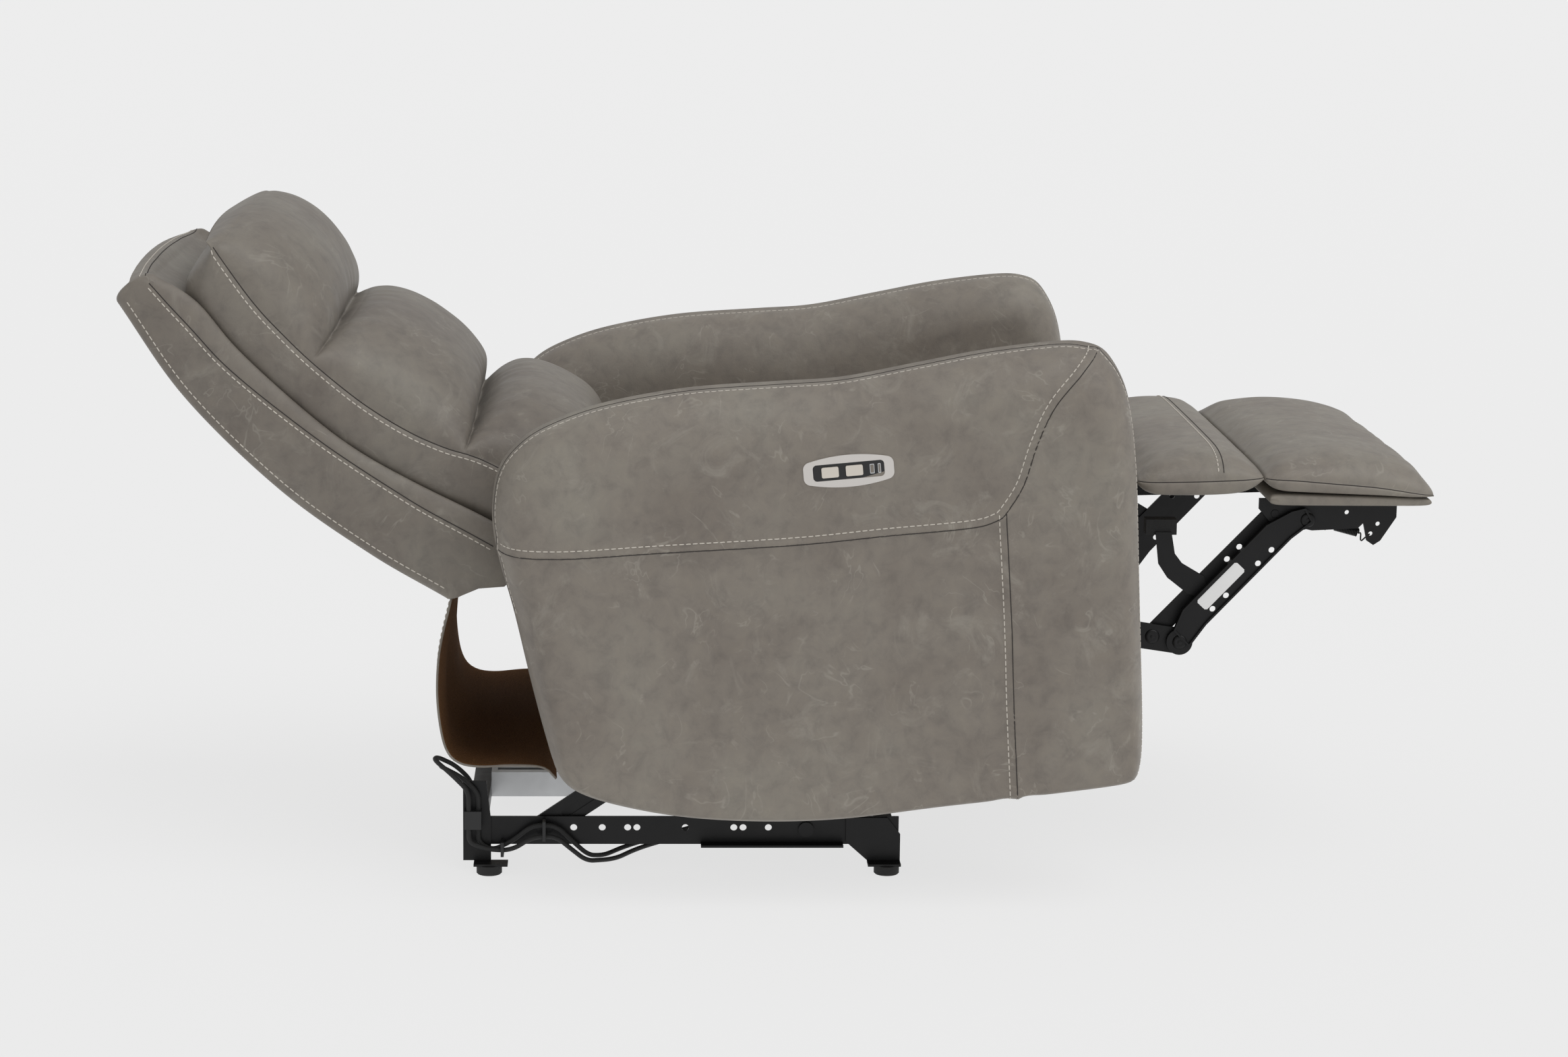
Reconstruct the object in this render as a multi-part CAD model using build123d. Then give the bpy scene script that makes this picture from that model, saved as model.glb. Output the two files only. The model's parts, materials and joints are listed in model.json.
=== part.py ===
from build123d import *
import math
import os

# Power recliner armchair, standing on its glides in the fully reclined pose. Millimetres, +Z up,
# floor at z = 0, the seat faces -Y. The sitter's right side is -X. The left half of each pair is
# modelled at +X and mirrored. Outlines of the sides are lists of (y, z).

# overall widths, as distances from the middle plane
ARM_INNER = 300.0
ARM_WIDTH = 150.0
ARM_OUTER = ARM_INNER + ARM_WIDTH
BOARD_THICKNESS = 18.0
BACK_HALF_WIDTH = 297.0
CUSHION_HALF_WIDTH = 284.0
SEAT_HALF_WIDTH = 290.0
PAD_HALF_WIDTH = 296.0

# planes of the mechanism's steel, from the middle outwards
BACK_BRACKET_X = 225.0
HANGER_X = 228.0
SIDE_PLATE_X = 232.0
INNER_LINK_X = 238.0
SUPPORT_ARM_X = 242.0
LOWER_LINK_X = 246.0
OUTER_LINK_X = 253.0
SWING_X = 262.0
RAIL_X = 270.0
LEG_X = 273.0
PLATE = 4.0
SWING_THICKNESS = 5.0

# pivots of the wall-saving swing, in the reclined pose
FRONT_SWING_BASE = (-37.0, 56.0)
SWING_LENGTH = 110.0
SWING_RISE_ANGLE = 40.0
FRONT_SWING_TOP = (
    FRONT_SWING_BASE[0] - SWING_LENGTH * math.cos(math.radians(SWING_RISE_ANGLE)),
    FRONT_SWING_BASE[1] + SWING_LENGTH * math.sin(math.radians(SWING_RISE_ANGLE)),
)
REAR_SWING_BASE = (303.0, 57.0)
REAR_SWING_TOP = (210.0, 120.0)
BACK_PIVOT = (320.0, 395.0)

# pivots of the footrest's parallelogram
FOOTREST_HINGE = (-448.0, 500.0)
LINK_SPAN = (-155.0, 163.0)
SEAT_LINK_PIVOT = (FOOTREST_HINGE[0] - LINK_SPAN[0], FOOTREST_HINGE[1] - LINK_SPAN[1])
OUTER_LINK_FOOT = (-521.0, 303.0)
INNER_LINK_FOOT = (-486.0, 309.0)
OUTER_LINK_HEAD = (OUTER_LINK_FOOT[0] + LINK_SPAN[0], OUTER_LINK_FOOT[1] + LINK_SPAN[1])
INNER_LINK_HEAD = (INNER_LINK_FOOT[0] + LINK_SPAN[0], INNER_LINK_FOOT[1] + LINK_SPAN[1])

PIN_RADIUS = 5.0
RUNNING_CLEARANCE = 0.05
OPEN_PIVOT_CLEARANCE = 0.4
SWING_SLACK = 7.5
LINK_WIDTH = 34.0
INNER_LINK_WIDTH = 24.0
OUTER_HEAD_RADIUS = 14.0
OUTER_LINK_BODY = [(4, -13), (40, -8), (197, -7), (232, -12), (238, 8), (222, 18), (187, 29), (33, 28),
                   (5, 17)]
RIM_HEIGHT = 4.0
RIM_THICKNESS = 2.5
TORQUE_TUBE_RADIUS = 12.0

# base frame
RAIL_FRONT = -158.0
RAIL_REAR = 405.0
RAIL_BOTTOM = 36.0
RAIL_TOP = 73.0
GLIDE_HEIGHT = 12.0
GLIDE_RADIUS = 16.5
GLIDE_X = 284.0
GLIDE_Y = (-142.0, 374.0)

# seat: the top surface falls towards the back
SEAT_FRONT = -420.0
SEAT_REAR = 170.0
SEAT_FRONT_TOP = 522.0
SEAT_FALL = 0.0644
SEAT_THICKNESS = 128.0
FRONT_RAIL_Y = (-390.0, -365.0)
REAR_RAIL_Y = (195.0, 220.0)
SEAT_RAIL_HEIGHT = 42.0
SPRING_COUNT = 5
SPRING_WIRE = 1.8
SPRING_HALF_WIDTH = 24.0

# the back's rear surface, from its lower edge to its top
BACK_REAR = [(431, 365), (526, 421), (640, 504), (703, 558), (757, 621), (799, 673), (839, 742)]
BACK_SKIN = 24.0
POST_DEPTH = 42.0
POST_X = 229.0
POST_WIDTH = 40.0
WEBBING = 1.6
CUSHION_STANDOFF = 69.0

# footrest
BOARD_TOP = 508.0
FOOTREST_BOARD = 16.0
BOARD_REAR = -628.0
PAD_GAP = 4.0

# arm outline: (y, shoulder z, ridge z) from the rear edge to the front edge
ARM_TOP = [
    (352, 452, 560), (300, 450, 603), (226, 452, 630), (118, 456, 649), (-10, 466, 660),
    (-124, 478, 676), (-224, 490, 695), (-310, 560, 710), (-376, 640, 710), (-412, 610, 672),
]
ARM_BOTTOM = [(-452, 255), (-452, 168), (-300, 139), (-79, 114), (118, 116), (255, 143), (290, 185)]
ARM_SECTIONS = [-0.75, -0.45, 0.0, 0.45, 0.75, 0.93, 1.0]
ARM_ROUNDNESS = 2.6

# control panel on the outside of the right arm
PANEL_CENTRE = (-74.0, 559.0)
PANEL_TILT = 5.5
BEZEL_SIZE = (112.0, 40.0)
BEZEL_CORNER = 9.0
BEZEL_BOW = 210.0
BEZEL_BACK = 437.0
BEZEL_FACE = 451.0
INSERT_SIZE = (88.0, 20.0)
INSERT_CORNER = 5.0
BUTTON_SIZE = (21.0, 13.0)
BUTTON_PLACES = {"button_open": 23.0, "button_close": -7.0}
BUTTON_GAP = 0.3
BUTTON_CORNER = 2.0
USB_PLACES = [(-29.0, 5.5), (-38.0, 3.6)]

LEATHER = Color(0.50, 0.47, 0.45)
STEEL = Color(0.12, 0.12, 0.12)
GALVANISED = Color(0.66, 0.67, 0.68)
WOOD = Color(0.72, 0.58, 0.40)
RUBBER = Color(0.06, 0.06, 0.06)
SATIN = Color(0.78, 0.77, 0.75)


def plate(points, low, high):
    """A flat piece with an outline in the side view, from x = low to x = high."""
    face = make_face(Polyline(*points, close=True))
    return extrude(Plane.YZ.offset(low) * face, high - low)


def box(x, y, z):
    """A box between pairs of limits."""
    size = (x[1] - x[0], y[1] - y[0], z[1] - z[0])
    return Pos((x[0] + x[1]) / 2, (y[0] + y[1]) / 2, (z[0] + z[1]) / 2) * Box(*size)


def pin(place, radius, low, high):
    """A round bar along X through a (y, z) place."""
    return extrude(Plane.YZ.offset(low) * Pos(*place) * Circle(radius), high - low)


def headed_pin(place, radius, low, high, head_radius, head_low, head_high):
    return pin(place, radius, low, high) + pin(place, head_radius, head_low, head_high)


def link(start, end, width, low, high):
    """A flat bar with round ends between two pivots."""
    run, rise = end[0] - start[0], end[1] - start[1]
    middle = Pos((start[0] + end[0]) / 2, (start[1] + end[1]) / 2)
    turn = Rot(0, 0, math.degrees(math.atan2(rise, run)))
    face = middle * turn * SlotCenterToCenter(math.hypot(run, rise), width)
    return extrude(Plane.YZ.offset(low) * face, high - low)


def between(start, end, share):
    return (start[0] + (end[0] - start[0]) * share, start[1] + (end[1] - start[1]) * share)


def offset_line(points, distance):
    """The line of points moved square to itself, towards the sitter."""
    moved = []
    for number, (y, z) in enumerate(points):
        before = points[max(number - 1, 0)]
        after = points[min(number + 1, len(points) - 1)]
        run, rise = after[0] - before[0], after[1] - before[1]
        length = math.hypot(run, rise)
        moved.append((y - rise / length * distance, z + run / length * distance))
    return moved


def band(points, near, far):
    """A closed outline between two distances from a line."""
    return offset_line(points, near) + offset_line(points, far)[::-1]


def mirrored(shape):
    return mirror(shape, about=Plane.YZ)


def save(name, *solids, colour=STEEL):
    """Write one named sub-part, made of one or more separate solids."""
    pieces = [piece for solid in solids for piece in solid.solids()]
    group = Compound(children=pieces) if len(pieces) > 1 else pieces[0]
    group.label = name
    group.color = colour
    export_step(group, f"parts/{name}.step")


def save_sides(name, shape, colour=STEEL):
    save(f"{name}_left", shape, colour=colour)
    save(f"{name}_right", mirrored(shape), colour=colour)


def save_both(name, *shapes, colour=STEEL):
    save(name, *shapes, *[mirrored(shape) for shape in shapes], colour=colour)


# ---------------------------------------------------------------- base frame


def base_rail():
    rail = box((RAIL_X, RAIL_X + 3), (RAIL_FRONT, RAIL_REAR), (RAIL_BOTTOM, RAIL_TOP))
    flange = box((RAIL_X + 3, RAIL_X + 22), (-85, 100), (RAIL_BOTTOM, RAIL_BOTTOM + 3))
    rail = rail + flange
    for place in (FRONT_SWING_BASE, REAR_SWING_BASE):
        rail = rail - pin(place, PIN_RADIUS + RUNNING_CLEARANCE, RAIL_X - 1, RAIL_X + 4)
    for y in (12, 45, 57, 120, 183, 195, 228, 265):
        rail = rail - pin((y, 58), 4.5, RAIL_X - 1, RAIL_X + 4)
    return rail


def front_leg():
    web = plate([(-89, 72), (-89, 40), (-117, 15), (-160, 15), (-160, 50), (-143, 72)], LEG_X, LEG_X + 3)
    foot = box((LEG_X, LEG_X + 24), (-160, -117), (GLIDE_HEIGHT, GLIDE_HEIGHT + 3))
    return web + foot


def rear_leg():
    web = plate([(372, 15), (408, 15), (408, 121), (378, 121), (372, 70)], LEG_X, LEG_X + 3)
    foot = box((LEG_X, LEG_X + 24), (350, 394), (GLIDE_HEIGHT, GLIDE_HEIGHT + 3))
    return web + foot


def base_frame():
    save_sides("base_rail", base_rail())
    save_both("base_legs", front_leg(), rear_leg())
    rear_tube = box((-RAIL_X, RAIL_X), (380, 404), (34, 58)) - box((-RAIL_X, RAIL_X), (382, 402), (36, 56))
    save("rear_cross_tube", rear_tube)
    front_tube = box((-RAIL_X, RAIL_X), (-152, -128), (38, 62)) - box((-RAIL_X, RAIL_X), (-150, -130),
                                                                      (40, 60))
    save("front_cross_tube", front_tube)
    glides = []
    for y in GLIDE_Y:
        puck = Pos(GLIDE_X, y, GLIDE_HEIGHT / 2) * Cylinder(GLIDE_RADIUS, GLIDE_HEIGHT)
        glides.append(chamfer(puck.edges().sort_by(Axis.Z)[0], 1.5))
    save_both("floor_glides", *glides, colour=RUBBER)
    pins = []
    for place in (FRONT_SWING_BASE, REAR_SWING_BASE):
        shoulder = pin(place, 9, SWING_X + SWING_THICKNESS + 0.3, RAIL_X)
        head = pin(place, 10, RAIL_X + 3, RAIL_X + 7)
        pins.append(pin(place, PIN_RADIUS, SWING_X, RAIL_X + 5) + shoulder + head)
    save_both("base_pivot_pins", *pins, colour=GALVANISED)


# ---------------------------------------------------------------- drive

TRACK_Y = (20.0, 380.0)
TRACK_TOP = 68.0
SLIDER_Y = 60.0


def drive():
    channel = box((-20, 20), TRACK_Y, (34, TRACK_TOP)) - box((-17, 17), TRACK_Y, (37, TRACK_TOP - 3))
    channel = channel - box((-6, 6), (TRACK_Y[0] + 8, TRACK_Y[1] - 8), (TRACK_TOP - 4, TRACK_TOP + 1))
    save("actuator_track", channel, colour=GALVANISED)
    gearbox = box((-36, 36), (-44, 20), (30, 84))
    motor = Pos(66, -12, 57) * Rot(0, 90, 0) * Cylinder(24, 60)
    tie = box((-12, 12), (-128, -44), (40, 58))
    save("actuator_motor", gearbox + motor + tie, colour=RUBBER)
    shoe = box((-15, 15), (SLIDER_Y, SLIDER_Y + 44), (38, 64))
    stem = box((-5, 5), (SLIDER_Y, SLIDER_Y + 44), (64, 72))
    saddle = box((-24, 24), (SLIDER_Y, SLIDER_Y + 44), (TRACK_TOP + 1, TRACK_TOP + 24))
    save("actuator_slider", shoe + stem + saddle, colour=RUBBER)


# the harness is tied along the right rear leg and rail; each wire is solid from end to end
WIRE_RADIUS = 3.0
UPPER_WIRES = [
    [(-281, 388, 84), (-281, 388, 106), (-279, 408, 126), (-262, 434, 135), (-236, 439, 131),
     (-211, 426, 116), (-203, 392, 92), (-203, 388, 58)],
    [(-288, 400, 84), (-288, 400, 110), (-286, 424, 134), (-266, 446, 147), (-236, 443, 143),
     (-206, 420, 124), (-194, 398, 98), (-194, 398, 58)],
]
LOWER_WIRES = [
    [(-281, 388, 60), (-281, 388, 40), (-281, 370, 30), (-282, 345, 42), (-283, 318, 64), (-283, 288, 64),
     (-282, 266, 42), (-276, 246, 22), (-248, 226, 14), (-200, 196, 14), (-150, 136, 18), (-104, 56, 28),
     (-66, 4, 44), (-36, 4, 44)],
    [(-288, 400, 60), (-288, 400, 42), (-289, 376, 33), (-290, 345, 32), (-290, 318, 50), (-290, 288, 51),
     (-290, 268, 34), (-286, 248, 17), (-256, 212, 11), (-200, 180, 11), (-146, 120, 14), (-104, 42, 25),
     (-66, -10, 44), (-36, -10, 44)],
]


def wire(name, route):
    """One wire: straight runs joined by arcs as large as the runs allow."""
    radii = []
    for before, corner, after in zip(route, route[1:], route[2:]):
        first, second = Vector(*corner) - Vector(*before), Vector(*after) - Vector(*corner)
        turn = math.radians(first.get_angle(second))
        radii.append(0.45 * min(first.length, second.length) / math.tan(turn / 2))
    path = FilletPolyline(*route, radius=radii)
    print(name, "arc radii", [round(radius, 1) for radius in radii], "length", round(path.length))
    return sweep(Plane(origin=path @ 0, z_dir=path % 0) * Circle(WIRE_RADIUS), path=path)


def cable_tie(centre, size):
    """A square band round both wires where they lie along the leg or the rail."""
    x, y, z = centre
    width, height = size
    band_solid = Pos(x, y, z) * Box(width + 3, 4, height + 3)
    return band_solid - Pos(x, y, z) * Box(width, 6, height)


def harness():
    wires = [wire("upper wire", route) for route in UPPER_WIRES]
    wires += [wire("lower wire", route) for route in LOWER_WIRES]
    save("wire_harness", *wires, colour=RUBBER)
    save("harness_connector", box((-292, -276), (384, 406), (60, 84)), colour=RUBBER)
    ties = [cable_tie((-286.5, 303, 58), (14, 23)), cable_tie((-285.5, 357, 34), (17, 16))]
    save("cable_ties", *ties, colour=RUBBER)


# ---------------------------------------------------------------- swing links


def swing_links():
    front = link(FRONT_SWING_BASE, FRONT_SWING_TOP, LINK_WIDTH, SWING_X, SWING_X + SWING_THICKNESS)
    rear = link(REAR_SWING_BASE, REAR_SWING_TOP, LINK_WIDTH, SWING_X, SWING_X + SWING_THICKNESS)
    hole = PIN_RADIUS + RUNNING_CLEARANCE
    for place in (FRONT_SWING_BASE, FRONT_SWING_TOP):
        front = front - pin(place, hole, SWING_X - 1, SWING_X + SWING_THICKNESS + 1)
    rear = rear - pin(REAR_SWING_BASE, hole, SWING_X - 1, SWING_X + SWING_THICKNESS + 1)
    bead_start = between(REAR_SWING_BASE, REAR_SWING_TOP, 0.3)
    bead_end = between(REAR_SWING_BASE, REAR_SWING_TOP, 0.7)
    rear = rear - link(bead_start, bead_end, 11, SWING_X + SWING_THICKNESS - 1.5,
                       SWING_X + SWING_THICKNESS + 1)
    # the rear link's top stud runs with slack in the rear hanger, because this pivot is the open one
    washer = pin(REAR_SWING_TOP, 9, HANGER_X + PLATE + 0.5, SWING_X)
    stud = pin(REAR_SWING_TOP, PIN_RADIUS, HANGER_X - 4, SWING_X)
    save_both("front_swing_links", front)
    save_both("rear_swing_links", rear + washer + stud)


# ---------------------------------------------------------------- seat frame


def seat_top(y):
    return SEAT_FRONT_TOP - SEAT_FALL * (y - SEAT_FRONT)


def seat_side_plate():
    rail_gap = seat_top(REAR_RAIL_Y[0]) - SEAT_THICKNESS - 6 - SEAT_RAIL_HEIGHT - 1
    outline = [
        (FRONT_RAIL_Y[1], 378), (REAR_RAIL_Y[0] - 2, 342), (REAR_RAIL_Y[0] - 2, rail_gap),
        (REAR_RAIL_Y[1] + 2, rail_gap), (REAR_RAIL_Y[1] + 2, 350), (285, 372), (296, 416), (340, 420),
        (346, 376), (305, 320), (262, 262), (225, 238), (-190, 238), (-235, 290), (-270, 316), (-315, 317),
        (FRONT_RAIL_Y[1], 345),
    ]
    side = plate(outline, SIDE_PLATE_X, SIDE_PLATE_X + PLATE)
    tube_hole = TORQUE_TUBE_RADIUS + RUNNING_CLEARANCE
    side = side - pin(SEAT_LINK_PIVOT, tube_hole, SIDE_PLATE_X - 1, SIDE_PLATE_X + PLATE + 1)
    side = side - pin(BACK_PIVOT, PIN_RADIUS + RUNNING_CLEARANCE, SIDE_PLATE_X - 1, SIDE_PLATE_X + PLATE + 1)
    return side


def hangers():
    """The plates that hang the seat frame on the swing links."""
    y, z = FRONT_SWING_TOP
    front = plate(
        [(y - 16, z - 16), (y + 16, z - 16), (y + 52, 240), (y + 60, 300), (y - 60, 300), (y - 30, 200)],
        HANGER_X, HANGER_X + PLATE,
    )
    front = front - pin((y, z), PIN_RADIUS + RUNNING_CLEARANCE, HANGER_X - 1, HANGER_X + PLATE + 1)
    y, z = REAR_SWING_TOP
    rear = plate(
        [(y - 24, z - 24), (y + 24, z - 24), (y + 30, 200), (y + 20, 290), (y - 75, 290), (y - 45, 200)],
        HANGER_X, HANGER_X + PLATE,
    )
    rear = rear - pin((y, z), PIN_RADIUS + SWING_SLACK, HANGER_X - 1, HANGER_X + PLATE + 1)
    save_both("swing_hangers", front, rear)


def seat_rail(y_limits):
    top = seat_top(y_limits[0]) - SEAT_THICKNESS - 6
    rail = box((-ARM_INNER, ARM_INNER), y_limits, (top - SEAT_RAIL_HEIGHT, top))
    return rail - box((-ARM_INNER, ARM_INNER), (y_limits[0] + 2, y_limits[1] - 2),
                      (top - SEAT_RAIL_HEIGHT + 2, top - 2))


def zigzag_spring(x):
    """One sinuous spring from the front rail to the rear rail, resting on both."""
    front, rear = FRONT_RAIL_Y[0] + 4, REAR_RAIL_Y[1] - 4
    steps = 22
    pitch = (rear - front) / steps
    points = []
    for step in range(steps + 1):
        y = front + step * pitch
        side = SPRING_HALF_WIDTH if step % 2 else -SPRING_HALF_WIDTH
        points.append((x + side, y, seat_top(y) - SEAT_THICKNESS - 6 + 3.4))
    path = FilletPolyline(*points, radius=9)
    return sweep(Plane(origin=path @ 0, z_dir=path % 0) * Circle(SPRING_WIRE), path=path)


def seat_frame():
    save_sides("seat_side_plate", seat_side_plate())
    hangers()
    save("seat_front_rail", seat_rail(FRONT_RAIL_Y))
    save("seat_rear_rail", seat_rail(REAR_RAIL_Y))
    spread = 100.0
    springs = [zigzag_spring((number - (SPRING_COUNT - 1) / 2) * spread) for number in range(SPRING_COUNT)]
    save("seat_springs", *springs, colour=GALVANISED)
    studs = [
        headed_pin(FRONT_SWING_TOP, PIN_RADIUS, HANGER_X - 3, SWING_X + SWING_THICKNESS + 2, 9,
                   HANGER_X + PLATE, SWING_X - 0.3),
        headed_pin(BACK_PIVOT, PIN_RADIUS, BACK_BRACKET_X - 4, SIDE_PLATE_X + PLATE + 2, 9,
                   SIDE_PLATE_X + PLATE, SIDE_PLATE_X + PLATE + 4),
    ]
    studs.append(headed_pin(FOOTREST_HINGE, 4, 138, 153, 7, 137, 139.8))
    save_both("seat_pivot_studs", *studs, colour=GALVANISED)
    y, z = FOOTREST_HINGE
    post = plate(
        [(-391, 348), (-424, 350), (-434, 400), (-434, 484), (-455, 492), (-457, 503), (-448, 510),
         (-436, 508), (-425, 484), (-423, 392), (-391, 384)],
        140, 146,
    )
    post = post - pin((y, z), 4 + RUNNING_CLEARANCE, 139, 147)
    save_both("footrest_hinge_posts", post)


# ---------------------------------------------------------------- arms and seat cushion


def arm_section(height_share):
    """The arm's outline where its top has risen to a share of the way from shoulder to ridge."""
    top = [(y, shoulder + (ridge - shoulder) * height_share) for y, shoulder, ridge in ARM_TOP]
    return top + ARM_BOTTOM


def arm():
    sections = []
    middle = ARM_INNER + ARM_WIDTH / 2
    for place in ARM_SECTIONS:
        rise = (1 - abs(place) ** ARM_ROUNDNESS) ** (1 / ARM_ROUNDNESS)
        x = middle + place * ARM_WIDTH / 2
        if place == ARM_SECTIONS[0]:
            x = ARM_INNER + BOARD_THICKNESS + 0.3
        sections.append(Plane.YZ.offset(x) * make_face(Polyline(*arm_section(rise), close=True)))
    return loft(sections, ruled=True)


def panel_piece(size, low, high, radius, along=0.0):
    """A rounded block of the control panel, from |x| = low to high, on the left side."""
    face = Pos(*PANEL_CENTRE) * Rot(0, 0, -PANEL_TILT) * Pos(along, 0) * RectangleRounded(*size, radius)
    return extrude(Plane.YZ.offset(low) * face, high - low)


def grown(size, gap):
    return (size[0] + 2 * gap, size[1] + 2 * gap)


def bezel_block(gap, low, high):
    """The bezel's outline, grown by a gap: its long sides bow outwards, so its ends are lower."""
    width, height = grown(BEZEL_SIZE, gap)
    outline = Rectangle(width, height)
    for side in (-1, 1):
        outline = outline & Pos(0, side * (BEZEL_BOW - height / 2)) * Circle(BEZEL_BOW)
    outline = fillet(outline.vertices(), BEZEL_CORNER)
    face = Pos(*PANEL_CENTRE) * Rot(0, 0, -PANEL_TILT) * outline
    return extrude(Plane.YZ.offset(low) * face, high - low)


def arms():
    board_outline = [
        (-425, 170), (-412, 540), (-330, 620), (-150, 600), (100, 575), (270, 540), (330, 440), (262, 165),
        (118, 135), (-79, 133), (-300, 156),
    ]
    board = plate(board_outline, ARM_INNER, ARM_INNER + BOARD_THICKNESS)
    save_sides("arm_board", board, colour=WOOD)
    left = arm()
    save("arm_left", left, colour=LEATHER)
    pocket = bezel_block(0.5, BEZEL_BACK - 0.5, ARM_OUTER + 20)
    save("arm_right", mirrored(left - pocket), colour=LEATHER)


def control_panel():
    bezel = bezel_block(0, BEZEL_BACK, BEZEL_FACE)
    bezel = bezel - panel_piece(grown(INSERT_SIZE, 0.2), BEZEL_BACK + 2, BEZEL_FACE + 1, INSERT_CORNER)
    save("control_bezel", mirrored(bezel), colour=SATIN)
    insert = panel_piece(INSERT_SIZE, BEZEL_BACK + 2.2, BEZEL_FACE - 0.6, INSERT_CORNER)
    for name, along in BUTTON_PLACES.items():
        window = grown(BUTTON_SIZE, BUTTON_GAP)
        insert = insert - panel_piece(window, BEZEL_BACK + 4.5, BEZEL_FACE + 1, BUTTON_CORNER, along)
        button = panel_piece(BUTTON_SIZE, BEZEL_BACK + 7, BEZEL_FACE + 1.6, BUTTON_CORNER, along)
        save(name, mirrored(button), colour=SATIN)
    sockets = []
    for along, width in USB_PLACES:
        insert = insert - panel_piece((width + 0.2, 12.2), BEZEL_FACE - 5, BEZEL_FACE + 1, 1, along)
        shell = panel_piece((width, 12), BEZEL_FACE - 4.8, BEZEL_FACE - 0.4, 0.9, along)
        sockets.append(shell - panel_piece((width - 1.4, 10), BEZEL_FACE - 3, BEZEL_FACE + 1, 0.5, along))
    save("control_insert", mirrored(insert), colour=RUBBER)
    save("usb_sockets", *[mirrored(socket) for socket in sockets], colour=GALVANISED)


def seat_cushion():
    outline = [
        (SEAT_FRONT, seat_top(SEAT_FRONT) - SEAT_THICKNESS), (SEAT_FRONT, seat_top(SEAT_FRONT) - 30),
        (SEAT_FRONT + 30, seat_top(SEAT_FRONT)), (SEAT_REAR, seat_top(SEAT_REAR)),
        (SEAT_REAR, seat_top(SEAT_REAR) - SEAT_THICKNESS),
    ]
    save("seat_cushion", plate(outline, -SEAT_HALF_WIDTH, SEAT_HALF_WIDTH), colour=LEATHER)


# ---------------------------------------------------------------- backrest


def backrest():
    outer = plate(band(BACK_REAR, 0, BACK_SKIN), -BACK_HALF_WIDTH, BACK_HALF_WIDTH)
    save("outer_back", outer, colour=LEATHER)
    post_line = [between(BACK_REAR[0], BACK_REAR[1], 0.12)] + BACK_REAR[1:-1]
    post_line.append(between(BACK_REAR[-2], BACK_REAR[-1], 0.6))
    post = plate(band(post_line, BACK_SKIN + 0.3, BACK_SKIN + POST_DEPTH), POST_X, POST_X + POST_WIDTH)
    save_sides("back_post", post, colour=WOOD)
    rail_places = {
        "back_bottom_rail": (between(BACK_REAR[0], BACK_REAR[1], 0.2),
                             between(BACK_REAR[0], BACK_REAR[1], 0.6)),
        "back_top_rail": (between(BACK_REAR[-2], BACK_REAR[-1], 0.1),
                          between(BACK_REAR[-2], BACK_REAR[-1], 0.55)),
    }
    reach = {"back_bottom_rail": BACK_BRACKET_X, "back_top_rail": POST_X}
    for name, ends in rail_places.items():
        outline = band(list(ends), BACK_SKIN + 0.3, BACK_SKIN + POST_DEPTH - 4)
        save(name, plate(outline, -reach[name], reach[name]), colour=WOOD)
    straps = []
    for segment in (1, 2, 3, 4):
        start, end = BACK_REAR[segment], BACK_REAR[segment + 1]
        line = [between(start, end, 0.25), between(start, end, 0.75)]
        near = BACK_SKIN + POST_DEPTH + 0.6
        straps.append(plate(band(line, near, near + WEBBING), -POST_X - POST_WIDTH, POST_X + POST_WIDTH))
    save("back_webbing", *straps, colour=RUBBER)
    y, z = BACK_PIVOT
    bracket_outline = [
        (y - 20, z), (y - 12, z - 17), (y + 6, z - 19), (400, 392), (424, 398), (474, 428), (456, 454),
        (408, 423),
        (y + 6, z + 19), (y - 12, z + 17),
    ]
    bracket = plate(bracket_outline, BACK_BRACKET_X, BACK_BRACKET_X + PLATE)
    bracket = bracket - pin(BACK_PIVOT, PIN_RADIUS + RUNNING_CLEARANCE, BACK_BRACKET_X - 1,
                            BACK_BRACKET_X + 5)
    save_both("back_brackets", bracket)


def back_cushions():
    rear = offset_line(BACK_REAR, CUSHION_STANDOFF)
    head = [between(rear[2], rear[3], 0.15), rear[3], rear[4], rear[5], between(rear[5], rear[6], 0.8)]
    head += [(783, 800), (745, 822), (697, 840), (647, 832), (600, 806), (568, 768), (556, 725)]
    middle = [between(rear[0], rear[1], 0.45), rear[1], between(rear[1], rear[2], 0.95), (548, 722),
              (520, 722)]
    middle += [(482, 708), (440, 685), (406, 660), (390, 628), (392, 560)]
    lower = [between(rear[0], rear[1], 0.14), between(rear[0], rear[1], 0.4), (386, 560), (384, 600),
             (362, 628)]
    lower += [(316, 618), (232, 574), (243, 552), (270, 490), (330, 454)]
    for name, outline in (("head_cushion", head), ("middle_back_cushion", middle),
                          ("lower_back_cushion", lower)):
        save(name, plate(outline, -CUSHION_HALF_WIDTH, CUSHION_HALF_WIDTH), colour=LEATHER)


def rear_skirt():
    """The cloth that hangs from the lower edge of the back and hooks under the seat."""
    outer = [(424, 352), (436, 284), (438, 211), (430, 159), (412, 141), (393, 137), (343, 141),
             (301, 141), (286, 128)]
    inner = [(y - 3, z + 3) for y, z in outer[::-1]]
    inner[0] = (284, 132)
    inner[-1] = (421, 352)
    save("rear_skirt", plate(outer + inner, -BACK_HALF_WIDTH + 12, BACK_HALF_WIDTH - 12), colour=LEATHER)


# ---------------------------------------------------------------- footrest


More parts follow.
